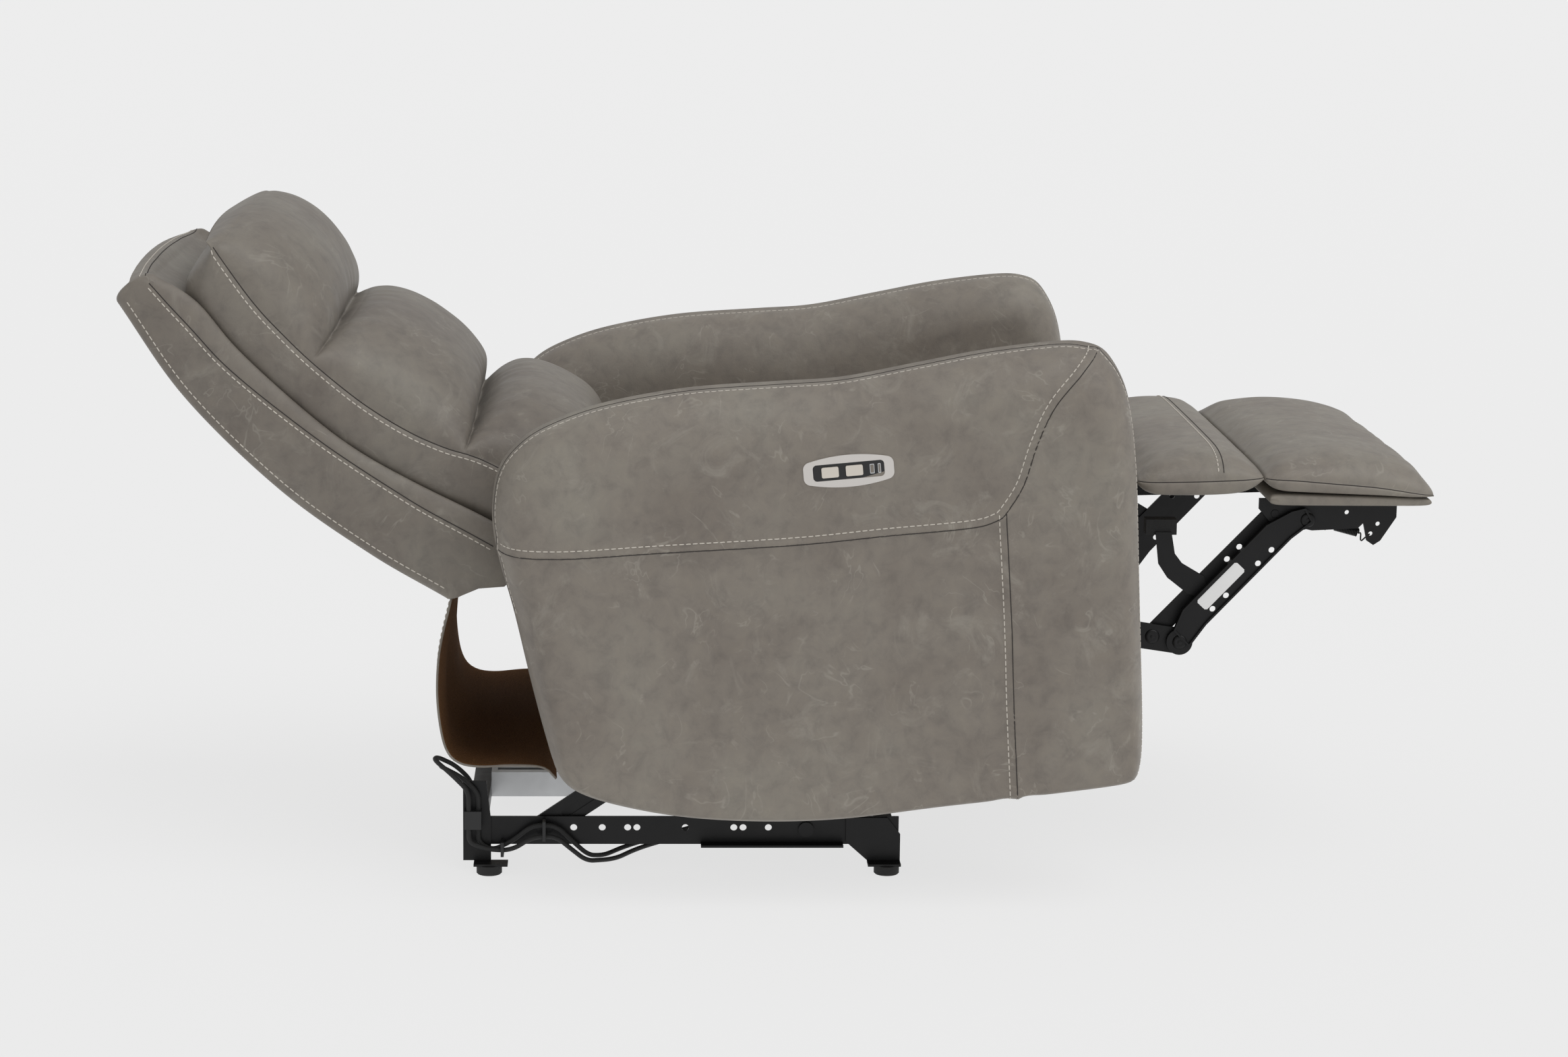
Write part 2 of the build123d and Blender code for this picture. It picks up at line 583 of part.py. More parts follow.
def footrest():
    board_low = BOARD_TOP - FOOTREST_BOARD
    board = box((-286, 286), (-822, BOARD_REAR), (board_low, BOARD_TOP))
    save("footrest_board", board, colour=WOOD)
    calf = [(-456, 512), (-456, 530), (-480, 545), (-540, 551), (-600, 542), (-616, 526), (-616, 510),
            (-474, 510)]
    save("calf_pad", plate(calf, -PAD_HALF_WIDTH, PAD_HALF_WIDTH), colour=LEATHER)
    toe = [(-622, 510), (-622, 528), (-650, 543), (-706, 550), (-770, 546), (-812, 538), (-840, 520),
           (-840, 500)]
    toe += [(-832, 488), (-825, 490), (-825, 510)]
    save("toe_pad", plate(toe, -PAD_HALF_WIDTH, PAD_HALF_WIDTH), colour=LEATHER)
    bracket = plate(
        [(-620, board_low), (-620, 478), (-634, 462), (-690, 450), (-750, 453), (-757, 460), (-762, 437),
         (-771, 431), (-780, 437), (-800, 468), (-800, board_low)],
        LOWER_LINK_X, LOWER_LINK_X + PLATE,
    )
    open_hole = PIN_RADIUS + OPEN_PIVOT_CLEARANCE
    for place in (OUTER_LINK_HEAD, INNER_LINK_HEAD):
        bracket = bracket - pin(place, open_hole, LOWER_LINK_X - 1, LOWER_LINK_X + PLATE + 1)
    for place in ((-767, 446), (-776, 459), (-735, 474)):
        bracket = bracket - pin(place, 3, LOWER_LINK_X - 1, LOWER_LINK_X + PLATE + 1)
    bracket = bracket + box((LOWER_LINK_X - 18, LOWER_LINK_X), (-797, -640), (board_low - 3, board_low))
    save_sides("footrest_bracket", bracket)
    y, z = FOOTREST_HINGE
    strap = plate([(y + 9, z + 6), (y, z + 9), (y - 14, BOARD_TOP), (BOARD_REAR + 0.5, BOARD_TOP),
                   (BOARD_REAR + 0.5, board_low), (-670, board_low), (-670, board_low - 8), (-474, 478),
                   (y + 4, z - 9), (y + 9, z - 4)], 147, 151)
    strap = strap - pin((y, z), 4 + RUNNING_CLEARANCE, 146, 152)
    save_both("footrest_hinge_straps", strap)


def extension_springs():
    """Close-wound springs between the bracket's low corner and the outer part of the bracket."""
    start, end = (-762, 424), (-706, 436)
    length = math.hypot(end[0] - start[0], end[1] - start[1])
    angle = math.degrees(math.atan2(end[1] - start[1], end[0] - start[0]))
    coil = Cylinder(4.5, length, rotation=(0, 90, 0)) - Cylinder(3, length + 2, rotation=(0, 90, 0))
    place = Plane.YZ.offset(LOWER_LINK_X + 2) * Pos(*between(start, end, 0.5)) * Rot(0, 0, angle)
    coil = place * coil
    front_hook = link(start, (-767, 440), 3, LOWER_LINK_X - 2.2, LOWER_LINK_X - 0.2)
    rear_hook = link(end, (-704, 456), 3, LOWER_LINK_X - 2.2, LOWER_LINK_X - 0.2)
    save_both("footrest_springs", coil + front_hook + rear_hook, colour=GALVANISED)


# ---------------------------------------------------------------- footrest links


def along_outer_link(along, aside):
    """The place at a distance along the outer link from its foot, and aside towards the inner link."""
    length = math.hypot(*LINK_SPAN)
    run, rise = LINK_SPAN[0] / length, LINK_SPAN[1] / length
    return (OUTER_LINK_FOOT[0] + run * along + rise * aside, OUTER_LINK_FOOT[1] + rise * along - run * aside)


def footrest_links():
    hole = PIN_RADIUS + RUNNING_CLEARANCE
    low, high = LOWER_LINK_X, LOWER_LINK_X + PLATE
    lower = link(SEAT_LINK_PIVOT, OUTER_LINK_FOOT, LINK_WIDTH, low, high)
    for place in (OUTER_LINK_FOOT, INNER_LINK_FOOT):
        lower = lower - pin(place, hole, low - 1, high + 1)
    save_sides("lower_link", lower)
    tube = Pos(0, *SEAT_LINK_PIVOT) * Rot(0, 90, 0) * Cylinder(TORQUE_TUBE_RADIUS, 2 * LOWER_LINK_X)
    save("torque_tube", tube - Pos(0, *SEAT_LINK_PIVOT) * Rot(0, 90, 0) * Cylinder(9.5,
                                                                                   2 * LOWER_LINK_X + 2))

    low, high = OUTER_LINK_X, OUTER_LINK_X + PLATE
    body = make_face(Polyline(*[along_outer_link(*spot) for spot in OUTER_LINK_BODY], close=True))
    outer = extrude(Plane.YZ.offset(low) * body, PLATE)
    outer = outer + pin(OUTER_LINK_FOOT, LINK_WIDTH / 2, low, high) + pin(OUTER_LINK_HEAD,
                                                                          OUTER_HEAD_RADIUS, low, high)
    rim = extrude(Plane.YZ.offset(high) * body, RIM_HEIGHT)
    inside = offset(body, -RIM_THICKNESS, kind=Kind.INTERSECTION)
    outer = outer + (rim - extrude(Plane.YZ.offset(high) * inside, RIM_HEIGHT + 1))
    for share in (0.27, 0.38, 0.64, 0.75):
        outer = outer - pin(between(OUTER_LINK_FOOT, OUTER_LINK_HEAD, share), 4, low - 1, high + 1)
    outer = outer - pin(OUTER_LINK_FOOT, hole, low - 1, high + 1)
    outer = outer + pin(OUTER_LINK_HEAD, PIN_RADIUS, LOWER_LINK_X - 3, low)
    outer = outer + pin(OUTER_LINK_HEAD, 9, LOWER_LINK_X + PLATE + 0.5, low)
    save_sides("outer_link", outer)

    low, high = INNER_LINK_X, INNER_LINK_X + PLATE
    inner = link(INNER_LINK_FOOT, INNER_LINK_HEAD, INNER_LINK_WIDTH, low, high)
    for share in (0.4, 0.62, 0.72):
        inner = inner - pin(between(INNER_LINK_FOOT, INNER_LINK_HEAD, share), 4, low - 1, high + 1)
    inner = inner - pin(INNER_LINK_FOOT, hole, low - 1, high + 1)
    inner = inner + pin(INNER_LINK_HEAD, PIN_RADIUS, high, LOWER_LINK_X + PLATE + 1)
    inner = inner + pin(INNER_LINK_HEAD, 9, high, LOWER_LINK_X - 0.5)
    arm_outline = [
        (-508, 446), (-513, 418), (-523, 405), (-552, 388), (-557, 372), (-546, 360), (-531, 365),
        (-504, 386),
        (-492, 404), (-487, 446),
    ]
    support = plate(arm_outline, SUPPORT_ARM_X, SUPPORT_ARM_X + 3)
    save_both("inner_links", inner)
    save_both("support_arms", support)
    save_both("support_blocks", box((SUPPORT_ARM_X - 23, SUPPORT_ARM_X), (-515, -475), (442, 462)),
              colour=RUBBER)

    foot_pin = headed_pin(OUTER_LINK_FOOT, PIN_RADIUS, LOWER_LINK_X - 3, OUTER_LINK_X + PLATE + 1, 9,
                          LOWER_LINK_X + PLATE, OUTER_LINK_X - 0.3)
    inner_pin = headed_pin(INNER_LINK_FOOT, PIN_RADIUS, INNER_LINK_X - 3, LOWER_LINK_X + PLATE + 2, 9,
                           INNER_LINK_X + PLATE + 0.3, LOWER_LINK_X)
    save_both("link_rivets", foot_pin, inner_pin, colour=GALVANISED)


os.makedirs("parts", exist_ok=True)
base_frame()
drive()
harness()
swing_links()
seat_frame()
arms()
control_panel()
seat_cushion()
backrest()
back_cushions()
rear_skirt()
footrest()
extension_springs()
footrest_links()
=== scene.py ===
import json
import math
import bmesh
import bpy
import numpy as np
from mathutils import Matrix, Vector
from mathutils.bvhtree import BVHTree


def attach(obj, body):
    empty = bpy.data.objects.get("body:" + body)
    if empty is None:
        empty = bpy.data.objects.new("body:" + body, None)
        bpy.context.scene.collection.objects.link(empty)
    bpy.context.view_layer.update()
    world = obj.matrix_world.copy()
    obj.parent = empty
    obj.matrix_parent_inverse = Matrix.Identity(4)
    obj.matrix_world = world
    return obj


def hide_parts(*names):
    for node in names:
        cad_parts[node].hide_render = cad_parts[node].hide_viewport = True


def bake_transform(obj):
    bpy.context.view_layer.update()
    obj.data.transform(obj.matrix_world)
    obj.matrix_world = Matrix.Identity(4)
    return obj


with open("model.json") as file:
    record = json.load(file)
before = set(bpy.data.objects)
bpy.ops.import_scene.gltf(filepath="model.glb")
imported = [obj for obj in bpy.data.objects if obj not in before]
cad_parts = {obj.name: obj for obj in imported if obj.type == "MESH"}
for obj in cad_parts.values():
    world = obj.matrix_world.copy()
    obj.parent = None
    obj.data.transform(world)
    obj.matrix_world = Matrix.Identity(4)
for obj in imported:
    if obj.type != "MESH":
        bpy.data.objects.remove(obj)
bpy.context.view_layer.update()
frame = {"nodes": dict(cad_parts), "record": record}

MM = 0.001

# ------------------------------------------------------------------ dimensions, in millimetres

ARM_MIDDLE = 375.0
ARM_HALF = 75.0
ARM_CENTRE = (-60.0, 390.0)
ARM_SHRINK = (0.78, 0.62)
ARM_ROUNDNESS = 2.3
# the arm's rim, where its outer and inner panels meet: (y, z, how far the rounding reaches in)
ARM_RIM = [
    (338, 368, 45), (358, 440, 50), (365, 492, 62), (357, 548, 80), (328, 585, 90), (289, 608, 98),
    (226, 630, 105), (125, 649, 108), (11, 658, 108), (-68, 664, 108), (-159, 682, 108), (-250, 700, 105),
    (-341, 711, 95), (-378, 708, 85), (-400, 695, 75), (-425, 646, 62), (-438, 560, 50), (-445, 440, 42),
    (-450, 340, 38), (-454, 250, 32), (-454, 190, 26), (-448, 165, 20), (-430, 154, 16), (-296, 136, 14),
    (-197, 124, 14), (-79, 109, 14), (19, 105, 14), (118, 110, 14), (196, 123, 14), (255, 140, 16),
    (282, 160, 20), (296, 199, 30), (316, 275, 38),
]
OUTER_SEAM = [
    (362, 452), (338, 448), (270, 447), (158, 455), (-10, 466), (-123, 478), (-224, 488), (-258, 497),
    (-272, 510), (-291, 543), (-307, 594), (-328, 640), (-361, 679), (-392, 712),
]
FRONT_SEAM = [(-270, 506), (-280, 362), (-285, 262), (-293, 139)]
SEAM_TO_STITCH = 9.0
STITCH_PITCH = 8.4
STITCH_LENGTH = 6.4
THREAD = 0.95

# the back's rear line, and heights off it at distances along it
BACK_LINE = [(431, 365), (526, 421), (640, 504), (757, 621), (839, 742)]
BACK_LENGTH = 563.0
BACK_HALF = 297.0
CUSHION_HALF = 286.0
SHELL_DEPTH = [
    (-70, 92), (46, 90), (197, 87), (303, 80), (412, 69), (477, 63), (530, 54), (563, 49), (590, 44),
]
LIP_DEPTH = [
    (-70, 121), (39, 117), (182, 104), (343, 97), (432, 92), (496, 88), (530, 78), (563, 60), (590, 50),
]
# how far below the back's lower end its side panels reach, by height off the rear line
SIDE_START = [(-5, 0), (10, -14), (27, -25), (45, -42), (60, -62), (125, -70)]
# the back cushion: its lower line, its side seam, its lobes and the creases between them
CUSHION_FOOT = [
    (-120, 120), (39, 115), (182, 101), (343, 94), (432, 90), (495, 87), (510, 89), (532, 95), (548, 108),
    (557, 122), (566, 136), (580, 142),
]
SIDE_DEPTH = [
    (-120, 184), (25, 181), (100, 168), (166, 158), (323, 149), (407, 146), (498, 141), (563, 138),
    (580, 137),
]
LOBES = [(-116, 73, -30, 284), (73, 336, 190, 266), (336, 566, 446, 239)]
CREASE_DEPTH = [(-116, 190), (73, 192), (336, 184), (566, 150)]
LOBE_ROUNDNESS = 2.5
LOBE_FLATNESS = 3.4
# the back cushion's side wall: share of its height, how far it stands out
CUSHION_WALL = [(-0.1, -8.0), (0.1, -1.0), (0.3, 3.5), (0.6, 4.5), (0.88, 2.5), (0.97, 0.0), (1.0, -2.5)]
TOP_BULGE = 9.0
CREASE_SAG = 10.0
UNDERSIDE_DROP = 24.0
# the shell: radius of its rear corners, and how far its border rolls in
SHELL_CORNER = 16.0
BORDER_ROLL = 10.0
# the shell's top end: how far it bulges at the sides, and how much more at the middle of its front edge
SHELL_TOP_BULGE = 11.0
SHELL_TOP_ARCH = 14.0
# rows that fold over the cushion's and the shell's top ends
CAP_ROWS = 7
SHELL_CAP_ROWS = 6
BACK_STITCH_GAP = 5.0
SEAM_RADIUS = 0.7

# ------------------------------------------------------------------ curves and meshes


def smooth(points, step=None, count=None, closed=False):
    """A Catmull-Rom line through the points, resampled evenly by step or into count pieces."""
    control = np.array(points, float)
    if closed:
        control = np.vstack([control[-1], control, control[0], control[1]])
    else:
        control = np.vstack([2 * control[0] - control[1], control, 2 * control[-1] - control[-2]])
    share = np.linspace(0, 1, 24, endpoint=False)[:, None]
    dense = []
    for a, b, c, d in zip(control, control[1:], control[2:], control[3:]):
        dense.append(0.5 * (2 * b + (c - a) * share + (2 * a - 5 * b + 4 * c - d) * share**2
                            + (3 * b - a - 3 * c + d) * share**3))
    dense = np.vstack(dense + [control[-2:-1]])
    size = min(dense.shape[1], 3)
    travel = np.concatenate([[0], np.cumsum(np.linalg.norm(np.diff(dense[:, :size], axis=0), axis=1))])
    if count is None:
        count = max(2, round(travel[-1] / step))
    places = np.linspace(0, travel[-1], count + 1)
    line = np.stack([np.interp(places, travel, dense[:, k]) for k in range(dense.shape[1])], 1)
    return line[:-1] if closed else line


def across(pairs, at):
    """Values at places, from a list of (place, value) joined smoothly."""
    line = smooth(pairs, count=200)
    return np.interp(at, line[:, 0], line[:, 1])


def new_object(name, verts, faces, material, body, shade=True):
    mesh = bpy.data.meshes.new(name)
    mesh.from_pydata([tuple(v) for v in np.asarray(verts, float) * MM], [], faces)
    mesh.update()
    piece = bpy.data.objects.new(name, mesh)
    bpy.context.scene.collection.objects.link(piece)
    mesh.materials.append(material)
    if shade:
        mesh.shade_smooth()
    if body:
        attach(piece, body)
    return piece


def grid_faces(rows, columns, wrap=False):
    faces = []
    for r in range(rows - 1):
        for c in range(columns if wrap else columns - 1):
            d = (c + 1) % columns
            faces.append((r * columns + c, r * columns + d, (r + 1) * columns + d, (r + 1) * columns + c))
    return faces


def closed_grid(grid):
    """Verts and faces of a tube made of rows, closed by one face at each end."""
    rows, columns = grid.shape[:2]
    faces = grid_faces(rows, columns, wrap=True)
    faces.append(tuple(range(columns)))
    faces.append(tuple((rows - 1) * columns + k for k in range(columns))[::-1])
    return grid.reshape(-1, 3), faces


def coordinates(piece):
    found = np.zeros(len(piece.data.vertices) * 3)
    piece.data.vertices.foreach_get("co", found)
    return found.reshape(-1, 3) / MM


def set_coordinates(piece, values):
    piece.data.vertices.foreach_set("co", (values * MM).ravel())
    piece.data.update()


def normals(piece):
    found = np.zeros(len(piece.data.vertices) * 3)
    piece.data.vertex_normals.foreach_get("vector", found)
    return found.reshape(-1, 3)


def bake(piece):
    """Applies the piece's modifiers to its mesh."""
    graph = bpy.context.evaluated_depsgraph_get()
    mesh = bpy.data.meshes.new_from_object(piece.evaluated_get(graph))
    piece.modifiers.clear()
    piece.data = mesh
    mesh.shade_smooth()
    return piece


def subdivide(piece, levels=1):
    modifier = piece.modifiers.new("subdivision", "SUBSURF")
    modifier.levels = levels
    modifier.render_levels = levels
    return bake(piece)


def distance_to(points, line):
    """Distance from each point to a densely sampled line, in any number of dimensions."""
    best = np.full(len(points), 1e9)
    for sample in line:
        best = np.minimum(best, ((points - sample) ** 2).sum(1))
    return np.sqrt(best)


def mirror_x(piece, name, body):
    """A copy of the piece on the other side of the chair."""
    mesh = piece.data.copy()
    twin = bpy.data.objects.new(name, mesh)
    bpy.context.scene.collection.objects.link(twin)
    mesh.transform(Matrix.Scale(-1, 4, (1, 0, 0)))
    mesh.flip_normals()
    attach(twin, body)
    return twin


def surface_tree(piece):
    graph = bpy.context.evaluated_depsgraph_get()
    return BVHTree.FromObject(piece, graph)


def dropped(tree, point, direction):
    """Where a ray from the point first meets the piece: place and normal, in millimetres."""
    hit, normal, _, _ = tree.ray_cast(Vector(point) * MM, Vector(direction))
    return (None, None) if hit is None else (hit / MM, normal)


def nearest(tree, point):
    hit, normal, _, _ = tree.find_nearest(Vector(point) * MM)
    return hit / MM, normal


def stitches(name, places, up, material, body):
    """A row of thread stitches: short arched capsules that dip into the leather at both ends."""
    places = np.array(places, float)
    up = np.array(up, float)
    travel = np.concatenate([[0], np.cumsum(np.linalg.norm(np.diff(places, axis=0), axis=1))])
    centres = np.arange(STITCH_PITCH / 2, travel[-1], STITCH_PITCH)
    verts, faces = [], []
    sides, rings = 6, (-1.0, -0.82, -0.4, 0.0, 0.4, 0.82, 1.0)
    for centre in centres:
        place = np.array([np.interp(centre, travel, places[:, k]) for k in range(3)])
        ahead = np.array([np.interp(centre + 1, travel, places[:, k]) for k in range(3)])
        behind = np.array([np.interp(centre - 1, travel, places[:, k]) for k in range(3)])
        rise = np.array([np.interp(centre, travel, up[:, k]) for k in range(3)])
        rise /= np.linalg.norm(rise)
        along = ahead - behind
        along -= rise * along.dot(rise)
        along /= np.linalg.norm(along)
        side = np.cross(rise, along)
        first = len(verts)
        for share in rings:
            girth = THREAD * math.sqrt(max(0.04, 1 - share**4))
            lift = 0.35 - 0.75 * share**4
            for k in range(sides):
                turn = 2 * math.pi * k / sides
                spot = along * share * STITCH_LENGTH / 2 + side * girth * math.cos(turn)
                verts.append(place + spot + rise * (lift + girth * math.sin(turn)))
        for r in range(len(rings) - 1):
            for k in range(sides):
                a, b = first + r * sides + k, first + r * sides + (k + 1) % sides
                faces.append((a, b, b + sides, a + sides))
        faces.append(tuple(first + k for k in range(sides))[::-1])
        faces.append(tuple(first + (len(rings) - 1) * sides + k for k in range(sides)))
    piece = new_object(name, verts, faces, material, body)
    return piece


def strand(name, places, radius, material, body):
    """A round tube along a line of points, as a mesh."""
    places = np.array(places, float)
    sides = 8
    verts = []
    tangents = np.gradient(places, axis=0)
    side = np.cross(tangents[0], (0.31, 0.2, 0.93))
    for place, tangent in zip(places, tangents):
        tangent = tangent / np.linalg.norm(tangent)
        side = side - tangent * side.dot(tangent)
        side /= np.linalg.norm(side)
        other = np.cross(tangent, side)
        for k in range(sides):
            turn = 2 * math.pi * k / sides
            verts.append(place + radius * (side * math.cos(turn) + other * math.sin(turn)))
    faces = grid_faces(len(places), sides, wrap=True)
    faces.append(tuple(range(sides))[::-1])
    faces.append(tuple(len(verts) - sides + k for k in range(sides)))
    piece = new_object(name, verts, faces, material, body)
    return piece


# ------------------------------------------------------------------ materials


def shader(name):
    material = bpy.data.materials.new(name)
    material.use_nodes = True
    nodes, links = material.node_tree.nodes, material.node_tree.links
    return material, nodes, links, nodes["Principled BSDF"]


def texture_place(nodes, links, scale=(1, 1, 1)):
    coords = nodes.new("ShaderNodeTexCoord")
    mapping = nodes.new("ShaderNodeMapping")
    mapping.inputs["Scale"].default_value = scale
    links.new(coords.outputs["Object"], mapping.inputs["Vector"])
    return mapping.outputs["Vector"]


def noise(nodes, links, place, scale, detail=4.0, rough=0.5, twist=0.0):
    node = nodes.new("ShaderNodeTexNoise")
    node.inputs["Scale"].default_value = scale
    node.inputs["Detail"].default_value = detail
    node.inputs["Roughness"].default_value = rough
    node.inputs["Distortion"].default_value = twist
    links.new(place, node.inputs["Vector"])
    return node.outputs["Fac"]


def ramp(nodes, links, value, stops):
    node = nodes.new("ShaderNodeValToRGB")
    while len(node.color_ramp.elements) < len(stops):
        node.color_ramp.elements.new(0.5)
    for element, (position, colour) in zip(node.color_ramp.elements, stops):
        element.position = position
        element.color = (*colour, 1)
    links.new(value, node.inputs["Fac"])
    return node.outputs["Color"]


def mixed(nodes, links, share, first, second, mode="MIX"):
    node = nodes.new("ShaderNodeMix")
    node.data_type = "RGBA"
    node.blend_type = mode
    for socket, value in ((node.inputs[0], share), (node.inputs[6], first), (node.inputs[7], second)):
        if isinstance(value, (int, float)):
            socket.default_value = value
        elif isinstance(value, tuple):
            socket.default_value = (*value, 1)
        else:
            links.new(value, socket)
    return node.outputs[2]


def bump(nodes, links, height, strength, distance, below=None):
    node = nodes.new("ShaderNodeBump")
    node.inputs["Strength"].default_value = strength
    node.inputs["Distance"].default_value = distance
    links.new(height, node.inputs["Height"])
    if below is not None:
        links.new(below, node.inputs["Normal"])
    return node.outputs["Normal"]


def spread(nodes, links, value, low, high):
    """Maps a 0 to 1 value onto low to high."""
    node = nodes.new("ShaderNodeMapRange")
    node.inputs["To Min"].default_value = low
    node.inputs["To Max"].default_value = high
    links.new(value, node.inputs["Value"])
    return node.outputs["Result"]


def leather_material(name, shade):
    """Soft taupe-grey leather: cloudy colour, faint pale scuffs and scratches, fine pebbled grain. A shade
    below 1 darkens it all as painted shade.
    """
    material, nodes, links, surface = shader(name)
    place = texture_place(nodes, links)
    cloud = noise(nodes, links, place, 6, 5, 0.6, 0.3)
    colour = ramp(nodes, links, cloud, [
        (0.32, (0.184, 0.160, 0.138)), (0.50, (0.213, 0.189, 0.163)), (0.68, (0.235, 0.214, 0.184))])
    mottle = noise(nodes, links, place, 42, 6, 0.66, 0.4)
    tone = ramp(nodes, links, mottle, [
        (0.30, (0.83, 0.83, 0.84)), (0.50, (1, 1, 1)), (0.70, (1.09, 1.09, 1.07))])
    colour = mixed(nodes, links, 1.0, colour, tone, "MULTIPLY")
    rub = noise(nodes, links, place, 17, 7, 0.72, 0.9)
    scuff = ramp(nodes, links, rub, [(0.55, (0, 0, 0)), (0.73, (0.75, 0.75, 0.75))])
    colour = mixed(nodes, links, scuff, colour, (0.285, 0.262, 0.228))
    lines = noise(nodes, links, place, 12, 3, 0.55, 1.4)
    scratch = ramp(nodes, links, lines, [(0.485, (0, 0, 0)), (0.50, (0.8, 0.8, 0.8)), (0.515, (0, 0, 0))])
    patches = noise(nodes, links, place, 21, 4)
    hide = ramp(nodes, links, patches, [(0.52, (0, 0, 0)), (0.62, (0.75, 0.75, 0.75))])
    scratch = mixed(nodes, links, 1.0, scratch, hide, "MULTIPLY")
    colour = mixed(nodes, links, scratch, colour, (0.315, 0.292, 0.255))
    # a shade below 1 darkens the whole leather: painted shade, used for the back's copy
    colour = mixed(nodes, links, 1.0, colour, (shade, shade, shade * 0.985), "MULTIPLY")
    links.new(colour, surface.inputs["Base Color"])
    rough = noise(nodes, links, place, 60, 3)
    links.new(spread(nodes, links, rough, 0.47, 0.60), surface.inputs["Roughness"])
    surface.inputs["Specular IOR Level"].default_value = 0.4
    surface.inputs["Sheen Weight"].default_value = 0.05
    surface.inputs["Sheen Roughness"].default_value = 0.5
    cells = nodes.new("ShaderNodeTexVoronoi")
    cells.feature = "SMOOTH_F1"
    cells.inputs["Scale"].default_value = 620
    links.new(place, cells.inputs["Vector"])
    grain = bump(nodes, links, cells.outputs["Distance"], 0.18, 0.0005)
    soft = bump(nodes, links, noise(nodes, links, place, 70, 5, 0.6), 0.16, 0.002, grain)
    links.new(soft, surface.inputs["Normal"])
    return material


def plain_material(name, colour, roughness, metallic=0.0, fleck=0.12, grain=400, bump_height=0.0002,
                   strength=0.25, specular=0.5):
    """A base for steel, rubber, plastic and thread: gentle colour change, uneven gloss, fine bump."""
    material, nodes, links, surface = shader(name)
    place = texture_place(nodes, links)
    cloud = noise(nodes, links, place, 22, 4)
    low = tuple(c * (1 - fleck) for c in colour)
    high = tuple(min(1, c * (1 + fleck)) for c in colour)
    links.new(mixed(nodes, links, cloud, low, high), surface.inputs["Base Color"])
    gloss = noise(nodes, links, place, 70, 3)
    links.new(spread(nodes, links, gloss, roughness - 0.07, roughness + 0.07), surface.inputs["Roughness"])
    surface.inputs["Metallic"].default_value = metallic
    surface.inputs["Specular IOR Level"].default_value = specular
    fine = noise(nodes, links, place, grain, 3)
    links.new(bump(nodes, links, fine, strength, bump_height), surface.inputs["Normal"])
    return material


def fleece_material():
    material, nodes, links, surface = shader("brown_fleece")
    place = texture_place(nodes, links)
    fibre = noise(nodes, links, place, 700, 5, 0.7)
    colour = ramp(nodes, links, fibre, [(0.3, (0.065, 0.028, 0.010)), (0.7, (0.270, 0.135, 0.058))])
    links.new(colour, surface.inputs["Base Color"])
    surface.inputs["Roughness"].default_value = 0.95
    surface.inputs["Specular IOR Level"].default_value = 0.1
    links.new(bump(nodes, links, fibre, 0.8, 0.0015), surface.inputs["Normal"])
    return material


def wood_material():
    material, nodes, links, surface = shader("plywood")
    place = texture_place(nodes, links, (1, 14, 14))
    rings = noise(nodes, links, place, 6, 6, 0.6, 1.2)
    colour = ramp(nodes, links, rings, [(0.3, (0.42, 0.27, 0.13)), (0.7, (0.66, 0.48, 0.28))])
    links.new(colour, surface.inputs["Base Color"])
    surface.inputs["Roughness"].default_value = 0.62
    links.new(bump(nodes, links, rings, 0.2, 0.0006), surface.inputs["Normal"])
    return material


def webbing_material():
    material, nodes, links, surface = shader("elastic_webbing")
    place = texture_place(nodes, links)
    wave = nodes.new("ShaderNodeTexWave")
    wave.inputs["Scale"].default_value = 180
    links.new(place, wave.inputs["Vector"])
    colour = ramp(nodes, links, wave.outputs["Fac"], [
        (0.3, (0.012, 0.012, 0.013)), (0.7, (0.05, 0.05, 0.052))])
    links.new(colour, surface.inputs["Base Color"])
    surface.inputs["Roughness"].default_value = 0.85
    links.new(bump(nodes, links, wave.outputs["Fac"], 0.5, 0.0006), surface.inputs["Normal"])
    return material


LEATHER = leather_material("taupe_leather", 1.0)
# the back's leather is a darker copy of the same leather: painted shade for the back's less lit faces
BACK_LEATHER_PAINTED_SHADE = leather_material("taupe_leather_back_painted_shade", 0.85)
THREAD_PALE = plain_material("cream_thread", (0.56, 0.52, 0.46), 0.7, fleck=0.1, grain=2500,
                             bump_height=0.0003)
# dark strands laid along the seams: painted shadow of the seams' grooves
SEAM_GROOVE_SHADOW = plain_material("seam_shadow", (0.035, 0.030, 0.027), 0.85)
FLEECE = fleece_material()
STEEL = plain_material("black_powder_coat", (0.0045, 0.0045, 0.005), 0.40, grain=900, strength=0.35,
                       specular=0.32)
ZINC = plain_material("galvanised_steel", (0.56, 0.57, 0.58), 0.36, metallic=0.9, fleck=0.2)
LABEL_PAPER = plain_material("blank_label", (0.90, 0.90, 0.90), 0.45, fleck=0.03, strength=0.05)
RUBBER = plain_material("black_rubber", (0.014, 0.014, 0.014), 0.72, grain=260, bump_height=0.0008,
                        strength=0.6)
PLASTIC = plain_material("black_plastic", (0.011, 0.011, 0.012), 0.36)
SATIN = plain_material("satin_nickel", (0.66, 0.63, 0.60), 0.33, metallic=0.55, fleck=0.04, grain=1500)
BUTTON = plain_material("pale_button", (0.66, 0.61, 0.54), 0.38, fleck=0.04)
WOOD = wood_material()
WEBBING = webbing_material()
MATERIAL_OF_SLOT = {
    "leather": LEATHER, "black_steel": STEEL, "galvanised_steel": ZINC, "plywood": WOOD, "rubber": RUBBER,
    "black_plastic": PLASTIC, "webbing": WEBBING, "satin_trim": SATIN,
}


def dress_cad_nodes():
    for part in frame["record"]["subparts"]:
        node = frame["nodes"][part["node"]]
        node.data.materials.clear()
        material = MATERIAL_OF_SLOT[part["material_slot"]]
        if part["node"].startswith("button"):
            material = BUTTON
        node.data.materials.append(material)
        for slot in node.material_slots:
            slot.material = material


# ------------------------------------------------------------------ arms


